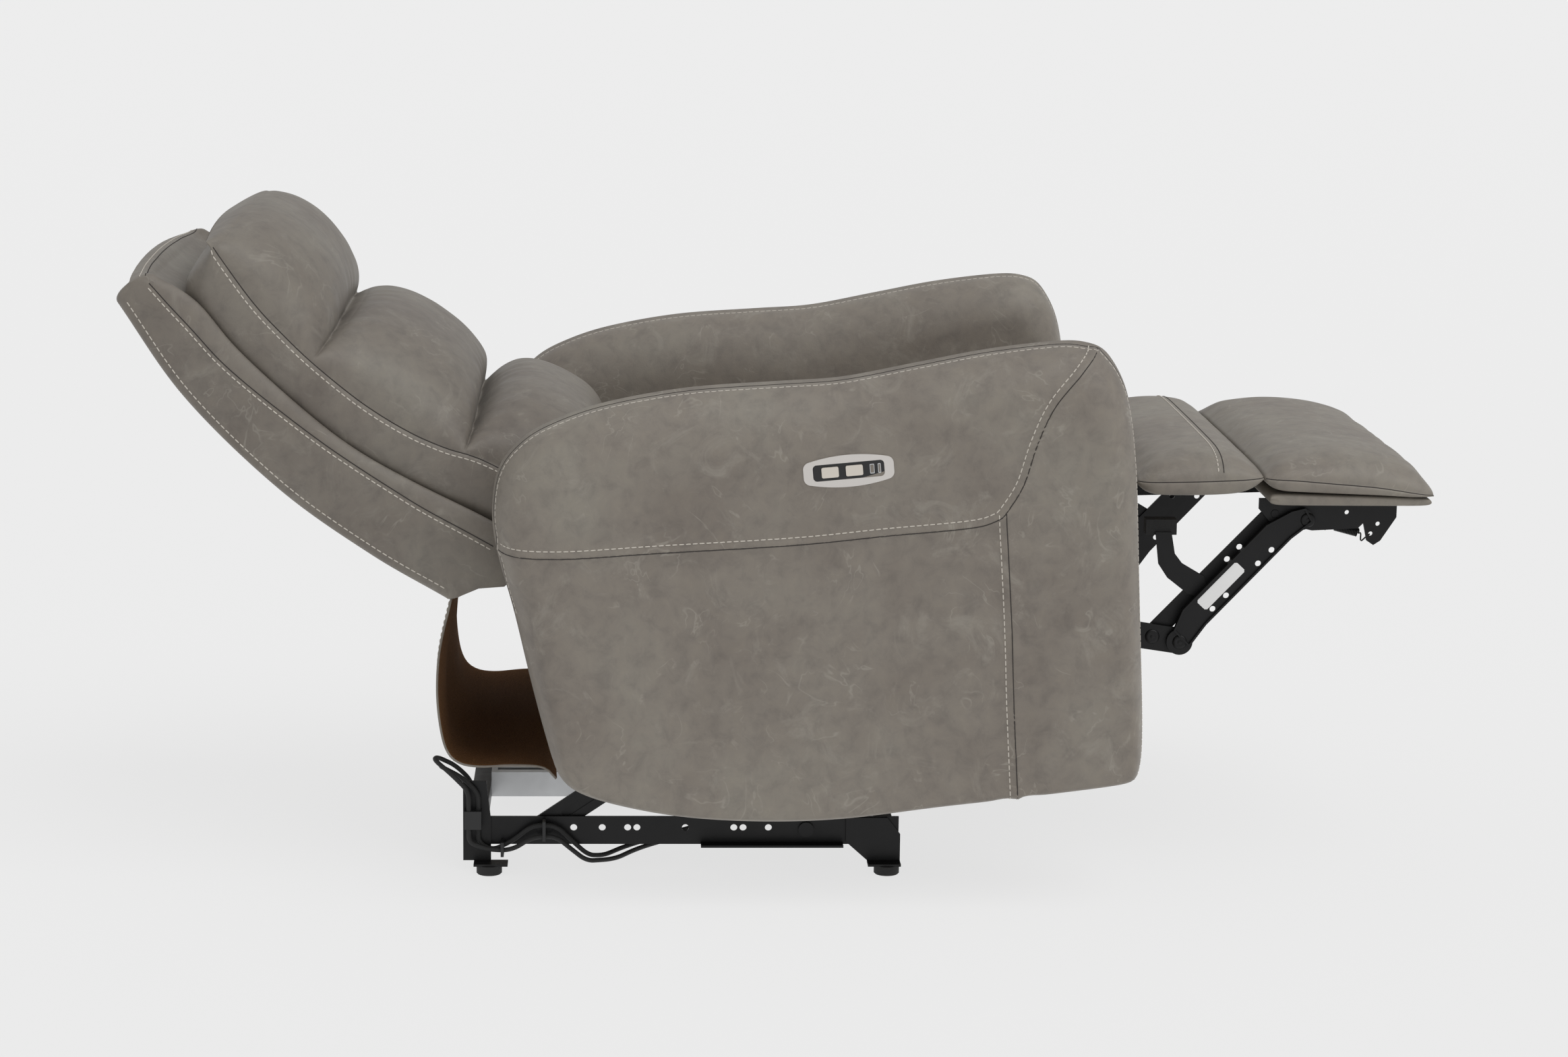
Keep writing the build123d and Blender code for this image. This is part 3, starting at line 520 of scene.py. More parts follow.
def arm_shape():
    """The left arm: rings from the rim, over the rounding, to the middle of each face."""
    rim = smooth(ARM_RIM, count=190, closed=True)
    edge = rim[:, :2]
    reach = rim[:, 2]
    centre = np.array(ARM_CENTRE)
    inner = centre + (edge - centre) * np.array(ARM_SHRINK)
    inward = inner - edge
    inward /= np.linalg.norm(inward, axis=1)[:, None]
    rings = [(edge, 0.0)]
    for turn in np.linspace(0, math.pi / 2, 15)[1:]:
        depth = (1 - math.cos(turn) ** (2 / ARM_ROUNDNESS)) * reach[:, None]
        rings.append((edge + inward * depth, ARM_HALF * math.sin(turn) ** (2 / ARM_ROUNDNESS)))
    shoulder = rings[-1][0]
    for share in np.linspace(1, 0, 22)[1:]:
        ring = centre + (shoulder - centre) * share
        rings.append((ring, ARM_HALF + 3.0 * (1 - share**2)))
    count = len(edge)
    verts = [(ARM_MIDDLE, y, z) for y, z in edge]
    faces = []
    for side in (1, -1):
        before = list(range(count))
        for ring, half in rings[1:-1]:
            bulge = half if side > 0 else min(half, ARM_HALF - 1.0)
            start = len(verts)
            verts += [(ARM_MIDDLE + side * bulge, y, z) for y, z in ring]
            now = list(range(start, start + count))
            for k in range(count):
                j = (k + 1) % count
                quad = (before[k], before[j], now[j], now[k])
                faces.append(quad if side < 0 else quad[::-1])
            before = now
        pole = len(verts)
        verts.append((ARM_MIDDLE + side * (ARM_HALF + (3 if side > 0 else -1)), *centre))
        for k in range(count):
            tri = (before[k], before[(k + 1) % count], pole)
            faces.append(tri if side < 0 else tri[::-1])
    return verts, faces


# rows round the rim: name, how deep below the ridge, how far back towards it, is it thread
RIM_ROWS = [
    ("rim_seam", 0.6, 0, False), ("rim_stitches_outer", 3.5, 0, True), ("rim_stitches_inner", 1.5, 32, True),
]


def make_arm():
    verts, faces = arm_shape()
    arm = new_object("arm_upholstery_left", verts, faces, LEATHER, None)
    arm = subdivide(arm, 1)
    return arm


def press_seams(arm):
    """Pulls the outer face in along its two seams and the rim."""
    found = coordinates(arm)
    facing = normals(arm)
    outer = found[:, 0] > ARM_MIDDLE + 8
    flat = found[:, 1:]
    move = np.zeros(len(found))
    for line in (OUTER_SEAM, FRONT_SEAM):
        away = distance_to(flat, smooth(line, step=4))
        pull = -2.4 * np.exp(-((away / 4.2) ** 2)) + 1.3 * np.exp(-(((away - 17) / 12) ** 2))
        move += np.where(outer, pull, 0)
    rim = np.abs(found[:, 0] - ARM_MIDDLE)
    high = np.clip((found[:, 2] - 120) / 40, 0, 1)
    move += high * (-1.8 * np.exp(-((rim / 3.5) ** 2)) + 0.8 * np.exp(-(((rim - 12) / 9) ** 2)))
    set_coordinates(arm, found + facing * move[:, None])


def offset_path(line, distance):
    tangent = np.gradient(line, axis=0)
    tangent /= np.linalg.norm(tangent, axis=1)[:, None]
    return line + np.stack([-tangent[:, 1], tangent[:, 0]], 1) * distance


def face_row(tree, line):
    """Drops a side-view line onto the left arm's outer face."""
    places, up = [], []
    for y, z in line:
        hit, normal = dropped(tree, (ARM_MIDDLE + 200, y, z), (-1, 0, 0))
        if hit is not None and hit.x > ARM_MIDDLE + 2:
            places.append(hit)
            up.append(normal)
    return places, up


def arm_rows(tree):
    """Seam lines and stitch rows of the left arm: (name, places, normals, is stitch)."""
    rows = []
    seam = smooth(OUTER_SEAM, step=5)
    front = smooth(FRONT_SEAM, step=5)
    rows.append(("outer_seam", *face_row(tree, seam), False))
    rows.append(("front_seam", *face_row(tree, front), False))
    rows.append(("outer_stitches", *face_row(tree, offset_path(seam, -SEAM_TO_STITCH)), True))
    rows.append(("front_stitches", *face_row(tree, offset_path(front, SEAM_TO_STITCH)), True))
    rim = smooth(ARM_RIM[:-4], step=5)
    rim = np.array([p for p in rim if p[1] > 150 and p[0] < 365])
    for name, sink, back, stitch in RIM_ROWS:
        places, up = [], []
        for y, z, reach in rim:
            share = 1 - (1 - sink / reach) ** ARM_ROUNDNESS
            side = ARM_HALF * share ** (1 / ARM_ROUNDNESS) - back
            hit, normal = nearest(tree, (ARM_MIDDLE + side, y, z))
            places.append(hit)
            up.append(normal)
        rows.append((name, places, up, stitch))
    return rows


def make_arms():
    left = make_arm()
    press_seams(left)
    tree = surface_tree(left)
    rows = arm_rows(tree)
    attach(left, "seat_body")
    for side in ("left", "right"):
        for name, places, up, stitch in rows:
            sign = 1 if side == "left" else -1
            flipped = [(p[0] * sign, p[1], p[2]) for p in places]
            raised = [(n[0] * sign, n[1], n[2]) for n in up]
            if stitch:
                stitches(f"arm_{side}_{name}", flipped, raised, THREAD_PALE, "seat_body")
            else:
                line = [tuple(np.array(p) + np.array(n) * 0.1) for p, n in zip(flipped, raised)]
                # the seam strand is painted shadow of the seam's groove
                strand(f"arm_{side}_{name}", line, SEAM_RADIUS, SEAM_GROOVE_SHADOW, "seat_body")
    right = mirror_x(left, "arm_upholstery_right", "seat_body")
    for piece, side in ((left, "left"), (right, "right")):
        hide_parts(f"arm_{side}", f"arm_board_{side}")


# ------------------------------------------------------------------ back


def back_frame(along):
    """Places and square-off directions on the back's rear line, at distances along it."""
    line = smooth(BACK_LINE, count=400)
    travel = np.concatenate([[0], np.cumsum(np.linalg.norm(np.diff(line, axis=0), axis=1))])
    tangent = np.gradient(line, axis=0)
    tangent /= np.linalg.norm(tangent, axis=1)[:, None]
    along = np.asarray(along, float)
    inside = np.clip(along, 0, travel[-1])
    spot = np.stack([np.interp(inside, travel, line[:, k]) for k in (0, 1)], 1)
    heading = np.stack([np.interp(inside, travel, tangent[:, k]) for k in (0, 1)], 1)
    heading /= np.linalg.norm(heading, axis=1)[:, None]
    spot = spot + heading * (along - inside)[:, None]
    return spot, np.stack([-heading[:, 1], heading[:, 0]], 1)


def back_place(x, along, depth):
    spot, off = back_frame(along)
    flat = spot + off * np.asarray(depth, float)[:, None]
    return np.stack([np.broadcast_to(x, len(flat)), flat[:, 0], flat[:, 1]], 1)


def crown_depth(along):
    """Height of the lobes' crowns off the rear line, with a deep crease between lobes."""
    depth = np.interp(along, [p for p, _ in CREASE_DEPTH], [d for _, d in CREASE_DEPTH])
    for start, end, peak, crown in LOBES:
        inside = (along >= start) & (along <= end)
        reach = np.where(along < peak, peak - start, end - peak)
        share = np.clip(np.abs(along - peak) / reach, 0, 1)
        low = np.interp(along, [p for p, _ in CREASE_DEPTH], [d for _, d in CREASE_DEPTH])
        lobe = low + (crown - low) * (1 - share**LOBE_ROUNDNESS) ** 0.5
        depth = np.where(inside, lobe, depth)
    return depth


def make_back_cushion():
    """Three lobes on one cushion: rows run up the back, columns go round it from its left foot."""
    start, end = LOBES[0][0], LOBES[-1][1]
    along = []
    for first, last, _, _ in LOBES:
        turn = np.linspace(0, math.pi, 34)
        along += list(first + (last - first) * (1 - np.cos(turn)) / 2)[:-1]
    along = np.array(along + [end] * CAP_ROWS)
    cap = np.zeros(len(along))
    cap[-CAP_ROWS:] = np.linspace(0, 1, CAP_ROWS)
    foot, side = across(CUSHION_FOOT, along), across(SIDE_DEPTH, along)
    fold = np.cos(cap * math.pi / 2)
    bulge = TOP_BULGE * np.sin(cap * math.pi / 2)
    columns = []
    tall = np.clip((side - foot) / 30, 0, 1)
    for share, out in CUSHION_WALL:
        columns.append((CUSHION_HALF - 3 + out * tall, foot + (side - foot) * share * fold))
    for value in np.cos(np.linspace(0, math.pi, 70))[1:-1]:
        x = (CUSHION_HALF - 5) * value
        shifted = np.clip(along - CREASE_SAG * (1 - value**2), start, end - 4)
        fall = (1 - abs(value) ** LOBE_FLATNESS) ** 0.5
        depth = side + np.maximum(crown_depth(shifted) - side, 3) * fall
        # small puckers beside the creases, and along the side seams
        crease = np.min([np.abs(shifted - lobe[0]) for lobe in LOBES[1:]], axis=0)
        near_crease = fall * np.exp(-((crease - 26) / 22) ** 2)
        depth += 1.6 * near_crease * math.sin(x / 10 + 2.4 * math.sin(x / 37))
        near_edge = math.exp(-(((1 - abs(value)) * CUSHION_HALF - 26) / 20) ** 2)
        depth += 1.1 * near_edge * np.sin(along / 12 + 2 * np.sin(along / 47))
        columns.append((x, foot + (depth - foot) * fold))
    for share, out in CUSHION_WALL[::-1]:
        columns.append((-(CUSHION_HALF - 3 + out * tall), foot + (side - foot) * share * fold))
    for x in np.linspace(-CUSHION_HALF + 20, CUSHION_HALF - 20, 12):
        columns.append((x, foot - UNDERSIDE_DROP * tall))
    grid = []
    for x, depth in columns:
        rounding = -12 * (x / CUSHION_HALF) ** 2 * np.clip((along - 480) / 80, 0, 1)
        flat = back_place(0, along + bulge + rounding, depth)
        # slightly narrower at its low end
        flat[:, 0] = x * (1 - 0.022 * np.clip((70 - along) / 70, 0, 1))
        grid.append(flat)
    # the back cushion takes the darker copy of the leather: painted shade
    piece = new_object("back_cushion", *closed_grid(np.stack(grid, 1)), BACK_LEATHER_PAINTED_SHADE, None)
    subdivide(piece, 1)
    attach(piece, "backrest")
    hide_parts("head_cushion", "middle_back_cushion", "lower_back_cushion")
    rows = np.arange(start + 60, end - 8, 5.0)
    depth = across(SIDE_DEPTH, rows)
    tree = surface_tree(piece)
    for word, sign in (("left", 1), ("right", -1)):
        seam = back_place(sign * (CUSHION_HALF - 5), rows, depth)
        seam_row(f"back_seam_{word}", tree, seam, "backrest")
        below = back_place(sign * (CUSHION_HALF + 1), rows, depth - BACK_STITCH_GAP)
        stitch_row(f"back_stitches_{word}", tree, below, "backrest")


def seam_row(name, tree, places, body):
    """A thin dark strand of painted shadow in the groove where two panels meet, laid on a surface near the
    places.
    """
    strand(name, [np.array(nearest(tree, p)[0]) for p in places], SEAM_RADIUS, SEAM_GROOVE_SHADOW, body)


def stitch_row(name, tree, places, body):
    found = [nearest(tree, p) for p in places]
    stitches(name, [p for p, _ in found], [n for _, n in found], THREAD_PALE, body)


def make_outer_back():
    """The shell behind the cushions: flat rear, rounded corners, and a rolled border at its front."""
    length = BACK_LENGTH
    ends = [length - 8, length - 2] + [length] * SHELL_CAP_ROWS
    along = np.concatenate([[0, 3, 9], np.arange(18, length - 12, 9), ends])
    cap = np.zeros(len(along))
    cap[-SHELL_CAP_ROWS:] = np.linspace(0, 1, SHELL_CAP_ROWS)
    shell, lip = across(SHELL_DEPTH, along), across(LIP_DEPTH, along)
    half = BACK_HALF
    columns = []
    for x in np.linspace(-half + 26, half - 26, 13):
        columns.append((x, -1.0 + 0 * along))
    corner = SHELL_CORNER
    side_columns = []
    for turn in np.linspace(0.15, math.pi / 2, 6):
        out = half - corner + corner * math.sin(turn)
        side_columns.append((out, corner - corner * math.cos(turn) + 0 * along))
    for share in (0.25, 0.5, 0.75, 0.93, 1.0):
        out = half + 1.2 * math.sin(share * math.pi) - 1.2 * (share == 1)
        side_columns.append((out, corner + (shell - corner) * share))
    for share in (0.15, 0.4, 0.65, 0.85, 1.0):
        side_columns.append((half - 1.2 - BORDER_ROLL * share**2.2, shell + (lip - shell) * share))
    side_columns.append((half - 17, lip - 1))
    side_columns.append((half - 24, lip - 9))
    columns += side_columns
    for x in np.linspace(half - 60, -half + 60, 9):
        columns.append((x, lip - 12))
    columns += [(-x, depth) for x, depth in side_columns[::-1]]
    middle = 26.0
    grid = []
    for x, depth in columns:
        first = across(SIDE_START, depth)
        low = first * np.clip(1 - along / 110, 0, 1) ** 1.5
        shrunk = middle + (depth - middle) * np.cos(cap * math.pi / 2 * 0.96)
        inset = x * (1 - 0.02 * cap)
        arch = (1 - min(1, abs(x) / half) ** 2) ** 0.8
        rise = SHELL_TOP_BULGE + SHELL_TOP_ARCH * arch * float(np.clip(depth[-1] / 47, 0, 1))
        flat = back_place(0, along + low + rise * np.sin(cap * math.pi / 2), shrunk)
        flat[:, 0] = inset
        grid.append(flat)
    # the shell takes the darker copy of the leather: painted shade
    piece = new_object("outer_back_cover", *closed_grid(np.stack(grid, 1)), BACK_LEATHER_PAINTED_SHADE, None)
    subdivide(piece, 1)
    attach(piece, "backrest")
    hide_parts("outer_back")
    tree = surface_tree(piece)
    rows = np.arange(-20, length - 2, 5.0)
    depth = across(SHELL_DEPTH, rows)
    for word, sign in (("left", 1), ("right", -1)):
        seam_row(f"shell_seam_{word}", tree, back_place(sign * half, rows, depth), "backrest")
        beside = back_place(sign * (half + 2), rows, depth - BACK_STITCH_GAP)
        stitch_row(f"shell_stitches_{word}", tree, beside, "backrest")
        late = rows[rows > 4]
        rear = back_place(sign * (half + 2), late, 12 + 0 * late)
        stitch_row(f"shell_rear_stitches_{word}", tree, rear, "backrest")
    xs = np.arange(-half + 8, half - 7, 6.0)
    arch = 15 * (1 - (xs / half) ** 2) ** 0.8
    top = np.array([back_place(x, [length + 4 + a], [49])[0] for x, a in zip(xs, arch)])
    seam_row("shell_top_seam", tree, top, "backrest")
    top = np.array([back_place(x, [length + 10 + a], [43])[0] for x, a in zip(xs, arch)])
    stitch_row("shell_top_stitches", tree, top, "backrest")


# ------------------------------------------------------------------ seat and footrest pads

# pads: (y, underside z, seam z, crown z) from the rear to the front
SEAT_PAD = [
    (138, 366, 472, 480), (104, 366, 479, 492), (20, 372, 484, 504), (-100, 380, 492, 512),
    (-220, 386, 498, 520), (-320, 392, 502, 525), (-388, 397, 503, 522), (-421, 402, 498, 508),
]
CALF_PAD = [
    (-456, 503, 520, 533), (-490, 502, 520, 549), (-540, 502, 521, 557), (-585, 505, 523, 553),
    (-618, 514, 525, 537),
]
TOE_PAD = [
    (-621, 508, 524, 537), (-655, 507, 523, 550), (-706, 505, 519, 557), (-765, 503, 514, 553),
    (-812, 501, 507, 541), (-839, 500, 503, 528),
]
PAD_HALF = 296.0
SEAT_HALF = 292.0
PAD_FLATNESS = 9
SEAT_END_ROUND = 60
PAD_END_ROUND = 34
# across the pads: where the seams and their stitches run
SEAT_SEAM = (-396, -388)
CALF_SEAM = (-566, -559)
# the wrapped board: underside, top, rear, front and half width
BOARD = (489.0, 505.0, -627.0, -836.0, 291.0)
BOARD_SETTLE = 5


def make_pad(name, profile, half, body, nodes, end_round):
    """A pad with a flat underside, a low band round its sides, and a crowned top panel."""
    rows = smooth(profile, step=7)
    far = np.minimum(np.abs(rows[:, 0] - rows[0, 0]), np.abs(rows[:, 0] - rows[-1, 0]))
    share = np.clip(far / end_round, 0, 1)
    swell = (1 - (1 - share) ** 2.3) ** (1 / 2.3)
    under, seam, crown = rows[:, 1], rows[:, 2], rows[:, 3]
    low = seam - 1 + (under - seam + 1) * np.maximum(swell, 0.25)
    columns = []
    for x in np.linspace(-half + 12, half - 12, 16):
        columns.append((x, low))
    side = [(half - 4, 0.04), (half - 0.5, 0.3), (half + 0.6, 0.65), (half - 0.4, 0.93), (half - 2.6, 1.0)]
    for x, rise in side:
        columns.append((x, low + (seam - low) * rise))
    for value in np.cos(np.linspace(0, math.pi, 60))[1:-1]:
        fall = (1 - abs(value) ** PAD_FLATNESS) ** 0.5
        lift = (crown - seam) * fall * np.maximum(swell, 0.42) + 0.8 * (1 - abs(value))
        # small puckers along the sides and the ends
        edge = math.exp(-(((1 - abs(value)) * half - 20) / 16) ** 2)
        lift = lift + 0.8 * edge * np.sin(rows[:, 0] / 9 + 2 * np.sin(rows[:, 0] / 31))
        end = np.exp(-((far - 18) / 14) ** 2)
        lift = lift + 0.9 * end * fall * math.sin(value * half / 12 + 2.2 * math.sin(value * half / 41))
        columns.append(((half - 3) * value, seam + lift))
    for x, rise in side[::-1]:
        columns.append((-x, low + (seam - low) * rise))
    grid = np.stack([np.stack([np.full(len(rows), x), rows[:, 0], z], 1) for x, z in columns], 1)
    corner = 1 - 0.028 * (1 - share[:, None]) ** 3
    grid[:, :, 0] *= corner
    piece = new_object(name, *closed_grid(grid), LEATHER, None)
    subdivide(piece, 1)
    fix_normals(piece)
    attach(piece, body)
    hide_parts(*nodes)
    tree = surface_tree(piece)
    for word, sign in (("left", 1), ("right", -1)):
        line = [(sign * (half - 1.5) * c, y, z) for y, z, c in zip(rows[:, 0], seam, corner[:, 0])]
        seam_row(f"{name}_seam_{word}", tree, line, body)
    return tree


def fix_normals(piece):
    work = bmesh.new()
    work.from_mesh(piece.data)
    bmesh.ops.recalc_face_normals(work, faces=work.faces)
    work.to_mesh(piece.data)
    work.free()
    piece.data.shade_smooth()


def drop_row(name, tree, points, body, thread):
    """A seam (a dark strand of painted shadow) or a stitch row across a pad, dropped onto it from above."""
    hits = [dropped(tree, (x, y, 1000), (0, 0, -1)) for x, y in points]
    hits = [(p, n) for p, n in hits if p is not None]
    if thread:
        stitches(name, [p for p, _ in hits], [n for _, n in hits], THREAD_PALE, body)
    else:
        strand(name, [np.array(p) for p, _ in hits], SEAM_RADIUS, SEAM_GROOVE_SHADOW, body)


def make_pads():
    tree = make_pad("seat_pad", SEAT_PAD, SEAT_HALF, "seat_body", ["seat_cushion"], SEAT_END_ROUND)
    xs = np.arange(-284, 285, 5.0)
    drop_row("seat_front_seam", tree, [(x, SEAT_SEAM[0]) for x in xs], "seat_body", False)
    drop_row("seat_front_stitches", tree, [(x, SEAT_SEAM[1]) for x in xs], "seat_body", True)
    tree = make_pad("calf_pad_cover", CALF_PAD, PAD_HALF, "footrest", ["calf_pad"], PAD_END_ROUND)
    xs = np.arange(-290, 291, 5.0)
    drop_row("calf_seam", tree, [(x, CALF_SEAM[0]) for x in xs], "footrest", False)
    drop_row("calf_stitches", tree, [(x, CALF_SEAM[1]) for x in xs], "footrest", True)
    make_pad("toe_pad_cover", TOE_PAD, PAD_HALF, "footrest", ["toe_pad"], PAD_END_ROUND)
    make_board_wrap()


def make_board_wrap():
    """The leather-wrapped board under the toe pad, its edges rounded and slightly padded."""
    low, high, rear, front, half = BOARD
    rows = []
    middle = ((rear + front) / 2, (low + high) / 2)
    for turn in np.linspace(0, 2 * math.pi, 72, endpoint=False):
        c, n = math.cos(turn), math.sin(turn)
        y = middle[0] + (rear - front) / 2 * math.copysign(abs(c) ** 0.18, c)
        z = middle[1] + (high - low) / 2 * math.copysign(abs(n) ** 0.5, n)
        rows.append((y, z))
    loop = smooth(rows, count=150, closed=True)
    verts = []
    xs = np.concatenate([-half + np.array([0, 1, 3, 6, 10]), np.linspace(-half + 30, half - 30, 20),
                         half - np.array([10, 6, 3, 1, 0])])
    for x in xs:
        edge = min((half - abs(x)) / 7, 1)
        squeeze = 0.35 + 0.65 * (1 - (1 - edge) ** 2) ** 0.5
        for y, z in loop:
            forward = (rear - y) / (rear - front)
            settled = middle[1] + (z - middle[1]) * squeeze
            verts.append((x, y, settled - BOARD_SETTLE * forward * max(0, settled - low) / (high - low)))
    grid = np.array(verts).reshape(len(xs), len(loop), 3)
    piece = new_object("toe_board_wrap", *closed_grid(grid), LEATHER, "footrest")
    fix_normals(piece)
    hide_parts("footrest_board")


# ------------------------------------------------------------------ rear skirt

SKIRT_LINE = [
    (421, 366), (434, 300), (439, 240), (436, 190), (428, 160), (412, 145), (385, 140), (343, 142),
    (305, 140), (288, 126),
]
SKIRT_HALF = 286.0
CLOTH_STEP = 7.0
CLOTH_HALF_THICKNESS = 1.4
# a cloth deck between the seat pad and the back cushion, and a flap between the seat pad and the footrest
DECK_LINE = [(152, 448), (166, 428), (190, 416), (222, 420), (246, 436)]
DECK_HALF = 262.0
FLAP_LINE = [(-417, 497), (-428, 509), (-440, 514), (-452, 517), (-462, 519)]
FLAP_HALF = 284.0


def strip(name, line, square, half, material, wave=None):
    """A thin closed sheet along a side-view line, as wide as 2 x half; wave moves it off the line."""
    xs = np.linspace(-half, half, 72)
    grids = []
    for thickness in (-CLOTH_HALF_THICKNESS, CLOTH_HALF_THICKNESS):
        rows = []
        for number, (spot, off) in enumerate(zip(line, square)):
            lift = 0 * xs if wave is None else wave(xs, number * CLOTH_STEP)
            flat = spot + off * (thickness + lift[:, None])
            rows.append(np.stack([xs, flat[:, 0], flat[:, 1]], 1))
        grids.append(np.array(rows))
    inside, outside = grids
    rows, columns = inside.shape[:2]
    size = rows * columns
    front = grid_faces(rows, columns)
    back = [tuple(k + size for k in face)[::-1] for face in front]
    rim = [r * columns for r in range(rows)] + [(rows - 1) * columns + c for c in range(1, columns)]
    rim += [r * columns + columns - 1 for r in range(rows - 2, -1, -1)] + list(range(columns - 2, 0, -1))
    edge = []
    for k, a in enumerate(rim):
        b = rim[(k + 1) % len(rim)]
        edge.append((a, b, b + size, a + size))
    verts = np.vstack([inside.reshape(-1, 3), outside.reshape(-1, 3)])
    return new_object(name, verts, front + back + edge, material, None), outside, len(front)


def cloth_line(points):
    """Evenly spaced points on a side-view line, and the direction square to it at each."""
    line = smooth(points, step=CLOTH_STEP)
    heading = np.gradient(line, axis=0)
    heading /= np.linalg.norm(heading, axis=1)[:, None]
    return line, np.stack([-heading[:, 1], heading[:, 0]], 1)


def skirt_wave(xs, travel):
    return 2.6 * np.sin(xs / 52 + travel / 70) * min(1, travel / 80)


def make_skirt():
    line, square = cloth_line(SKIRT_LINE)
    piece, outside, inner_faces = strip("rear_skirt_cloth", line, square, SKIRT_HALF, LEATHER, skirt_wave)
    piece.data.materials.append(FLEECE)
    for number in range(inner_faces):
        piece.data.polygons[number].material_index = 1
    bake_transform(piece)
    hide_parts("rear_skirt")
    for word, column in (("right", 2), ("left", -3)):
        up = [(0, *off) for off in square]
        row = stitches(f"skirt_hem_stitches_{word}", outside[:, column], up, THREAD_PALE, None)
        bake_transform(row)


def make_flaps():
    """Cloth that closes the gaps in front of the back cushion and behind the footrest."""
    line, square = cloth_line(DECK_LINE)
    piece, _, _ = strip("seat_deck_cloth", line, square, DECK_HALF, LEATHER)
    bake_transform(piece)
    line, square = cloth_line(FLAP_LINE)
    piece, _, _ = strip("footrest_flap_cloth", line, square, FLAP_HALF, LEATHER)
    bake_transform(piece)


# ------------------------------------------------------------------ metal details

FOOT_PIVOTS = [
    ("outer_foot_rivet", -521, 303, 257, "lower_links"), ("inner_foot_rivet", -486, 309, 250, "lower_links"),
]
RIVET_RADIUS = 9.5
HEAD_PIVOT = (-683, 465)
LABEL_CORNERS = [(-541, 357), (-591, 410), (-604, 398), (-554, 345)]
LABEL_FACE = 257.15
SPRING_START = (-722, 454)
SPRING_END = (-752, 446)
SPRING_HOLE = (-767, 445)
SPRING_MIDDLE = 241.0
SPRING_RADIUS = 5.0
SPRING_WIRE = 1.0
SPRING_TURNS = 15
SPRING_SIDES = 14


def rivet(name, y, z, face, radius, body, sign):
    """A turned rivet head: a low dome with a ring groove, on a face at |x| = face."""
    profile = [
        (0.0, 2.1), (0.28, 2.1), (0.36, 1.5), (0.46, 2.0), (0.72, 1.9), (0.9, 1.3), (1.0, 0.3), (1.0, -0.4),
    ]
    sides = 28
    verts = []
    for share, rise in profile[1:]:
        for k in range(sides):
            turn = 2 * math.pi * k / sides
            reach = radius * share
            verts.append((sign * (face + rise), y + reach * math.cos(turn), z + reach * math.sin(turn)))
    faces = grid_faces(len(profile) - 1, sides, wrap=True)
    verts.append((sign * (face + profile[0][1]), y, z))
    for k in range(sides):
        faces.append((len(verts) - 1, (k + 1) % sides, k))
    faces.append(tuple((len(profile) - 2) * sides + k for k in range(sides)))
    piece = new_object(name, verts, faces, STEEL, body)
    fix_normals(piece)


def make_label():
    """A blank pale plate where the link carries a sticker."""
    corners = np.array(LABEL_CORNERS, float)
    middle = corners.mean(0)
    outline = []
    for k, corner in enumerate(corners):
        before, after = corners[k - 1], corners[(k + 1) % 4]
        for share in np.linspace(0, 1, 5):
            a = corner + (before - corner) / np.linalg.norm(before - corner) * 2.5 * (1 - share)
            outline.append(a + (after - corner) / np.linalg.norm(after - corner) * 2.5 * share)
    verts = [(-LABEL_FACE, y, z) for y, z in outline] + [(-LABEL_FACE - 0.35, y, z) for y, z in outline]
    count = len(outline)
    faces = [(k, (k + 1) % count, (k + 1) % count + count, k + count) for k in range(count)]
    faces += [tuple(range(count))[::-1], tuple(range(count, 2 * count))]
    piece = new_object("blank_link_label", verts, faces, LABEL_PAPER, "outer_links", shade=False)
    fix_normals(piece)
    piece.data.shade_flat()


def make_springs():
    """Extension springs under the footrest brackets: a close coil with a hook at each end."""
    start, end = np.array(SPRING_START, float), np.array(SPRING_END, float)
    heading = (end - start) / np.linalg.norm(end - start)
    square = np.array([-heading[1], heading[0]])
    length = np.linalg.norm(end - start)
    for sign in (1, -1):
        places = [
            (sign * SPRING_MIDDLE, *(start - heading * 12 + square * 8)),
            (sign * SPRING_MIDDLE, *(start - heading * 5)),
        ]
        steps = SPRING_TURNS * SPRING_SIDES
        for k in range(steps + 1):
            turn = 2 * math.pi * k / SPRING_SIDES
            spot = start + heading * length * k / steps + square * SPRING_RADIUS * math.sin(turn)
            places.append((sign * (SPRING_MIDDLE + SPRING_RADIUS * math.cos(turn)), *spot))
        places += [
            (sign * SPRING_MIDDLE, *(end + heading * 4)),
            (sign * (SPRING_MIDDLE + 0.5), *(end + heading * 7 + square * 9)),
            (sign * (SPRING_MIDDLE + 2.5), *(end + heading * 11 + square * 3)),
            (sign * (SPRING_MIDDLE + 4), *SPRING_HOLE),
        ]
        name = f"footrest_spring_{'left' if sign > 0 else 'right'}"
        piece = strand(name, smooth(places, step=1.3), SPRING_WIRE, STEEL, "footrest")
    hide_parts("footrest_springs")


def make_details():
    for word, sign in (("left", 1), ("right", -1)):
        for name, y, z, face, body in FOOT_PIVOTS:
            rivet(f"{name}_{word}", y, z, face, RIVET_RADIUS, body, sign)
        rivet(f"outer_head_rivet_{word}", *HEAD_PIVOT, 257, RIVET_RADIUS, "outer_links", sign)
    make_label()
    make_springs()


# ------------------------------------------------------------------ stage, lights, camera

FLOOR_REACH = 90000.0
FLOOR_BASE = 0.12
FLOOR_GLOW = 0.72
WORLD_STRENGTH = 0.56
SUN_TOWARDS = (0.45, 0.50, -1)
SUN_STRENGTH = 1.25
SUN_SPREAD = 50


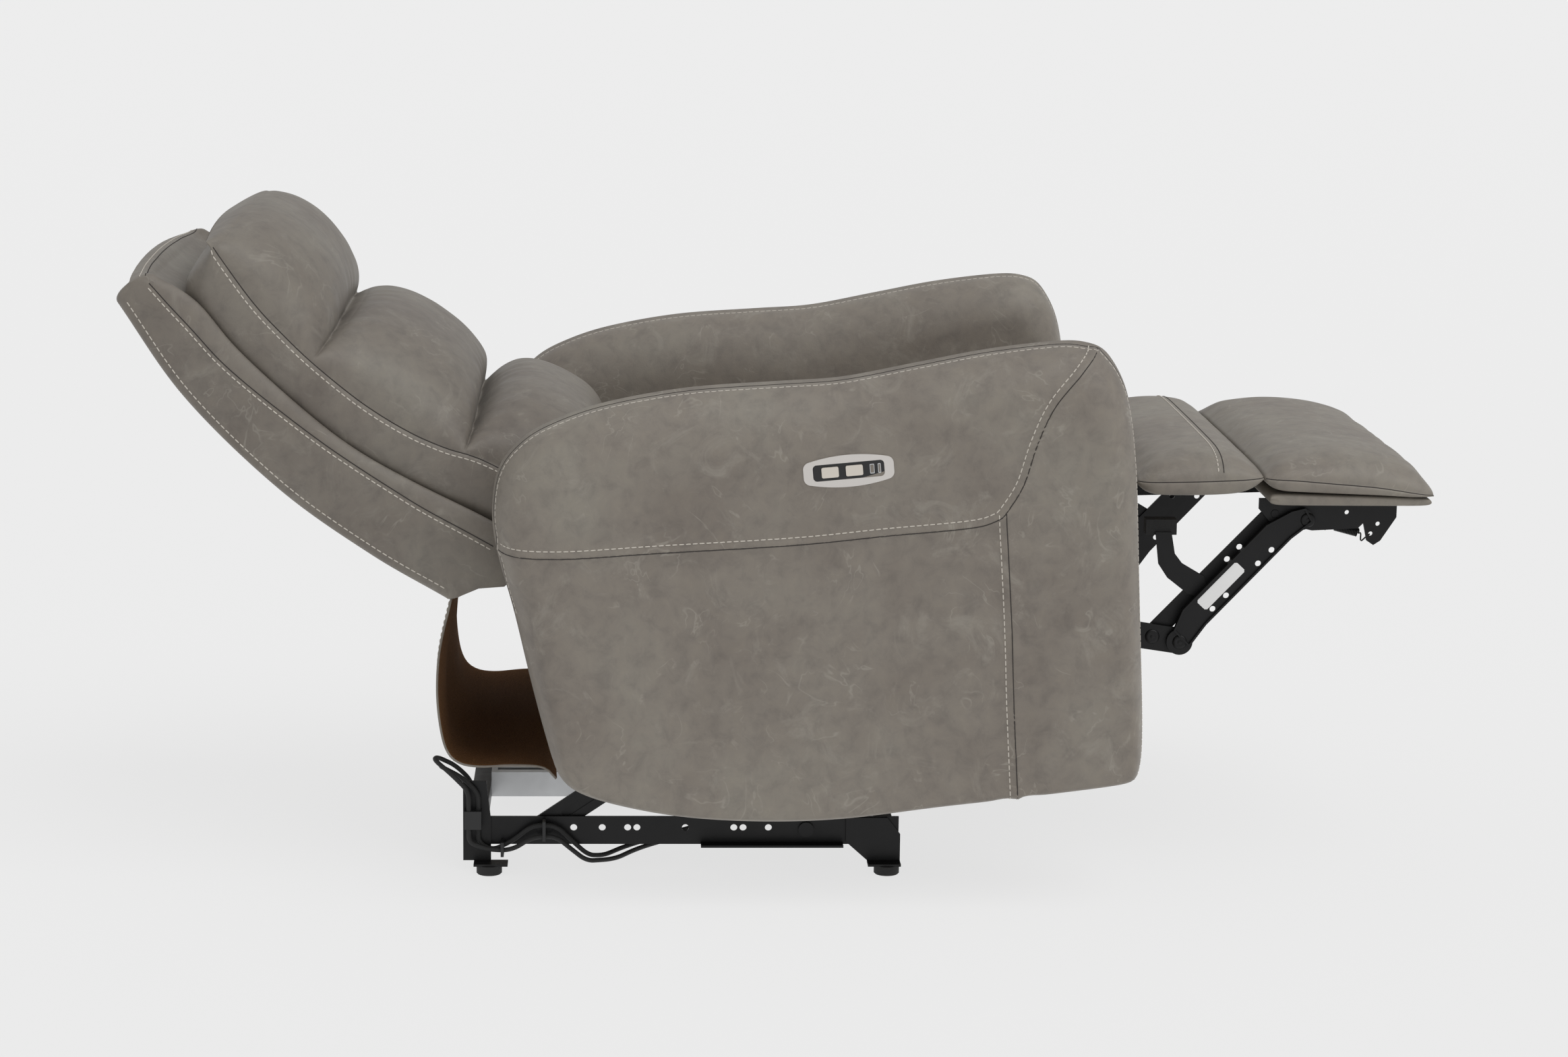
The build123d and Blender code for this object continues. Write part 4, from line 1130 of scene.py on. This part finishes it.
def backdrop():
    """A pale floor that reaches beyond everything the camera sees."""
    verts = [(x * FLOOR_REACH, y * FLOOR_REACH, 0) for x, y in ((-1, -1), (1, -1), (1, 1), (-1, 1))]
    material, nodes, links, surface = shader("pale_floor")
    surface.inputs["Base Color"].default_value = (FLOOR_BASE, FLOOR_BASE, FLOOR_BASE, 1)
    surface.inputs["Emission Color"].default_value = (1, 1, 1, 1)
    surface.inputs["Emission Strength"].default_value = FLOOR_GLOW
    surface.inputs["Roughness"].default_value = 0.9
    surface.inputs["Specular IOR Level"].default_value = 0.1
    new_object("floor", verts, [(0, 1, 2, 3)], material, None)


def sun(name, towards, strength, spread_degrees):
    data = bpy.data.lights.new(name, "SUN")
    data.energy = strength
    data.angle = math.radians(spread_degrees)
    item = bpy.data.objects.new(name, data)
    bpy.context.scene.collection.objects.link(item)
    item.rotation_euler = Vector(towards).to_track_quat("-Z", "Y").to_euler()


def lights():
    world = bpy.data.worlds.new("studio")
    bpy.context.scene.world = world
    world.use_nodes = True
    world.node_tree.nodes["Background"].inputs["Color"].default_value = (1, 1, 1, 1)
    world.node_tree.nodes["Background"].inputs["Strength"].default_value = WORLD_STRENGTH
    sun("overhead", SUN_TOWARDS, SUN_STRENGTH, SUN_SPREAD)


CAMERA_PLACE = (-4.872, 0.211, 1.2956)
CAMERA_TURN = 2.67
CAMERA_DIP = 10.36
CAMERA_ROLL = 0.72
CAMERA_LENS = 83.8


def camera():
    data = bpy.data.cameras.new("camera")
    data.lens = CAMERA_LENS
    data.sensor_width = 36
    item = bpy.data.objects.new("camera", data)
    bpy.context.scene.collection.objects.link(item)
    turn, dip, roll = (math.radians(v) for v in (CAMERA_TURN, CAMERA_DIP, CAMERA_ROLL))
    ahead = Vector((math.cos(turn) * math.cos(dip), -math.sin(turn) * math.cos(dip), -math.sin(dip)))
    right = ahead.cross(Vector((0, 0, 1))).normalized()
    up = right.cross(ahead)
    tilted_right = right * math.cos(roll) + up * math.sin(roll)
    tilted_up = up * math.cos(roll) - right * math.sin(roll)
    item.matrix_world = Matrix.Translation(CAMERA_PLACE) @ Matrix(
        (tilted_right, tilted_up, -ahead)).transposed().to_4x4()
    bpy.context.scene.camera = item


bpy.context.scene.view_settings.view_transform = "Standard"
camera()
lights()
backdrop()
dress_cad_nodes()
make_arms()
make_back_cushion()
make_outer_back()
make_pads()
make_skirt()
make_flaps()
make_details()
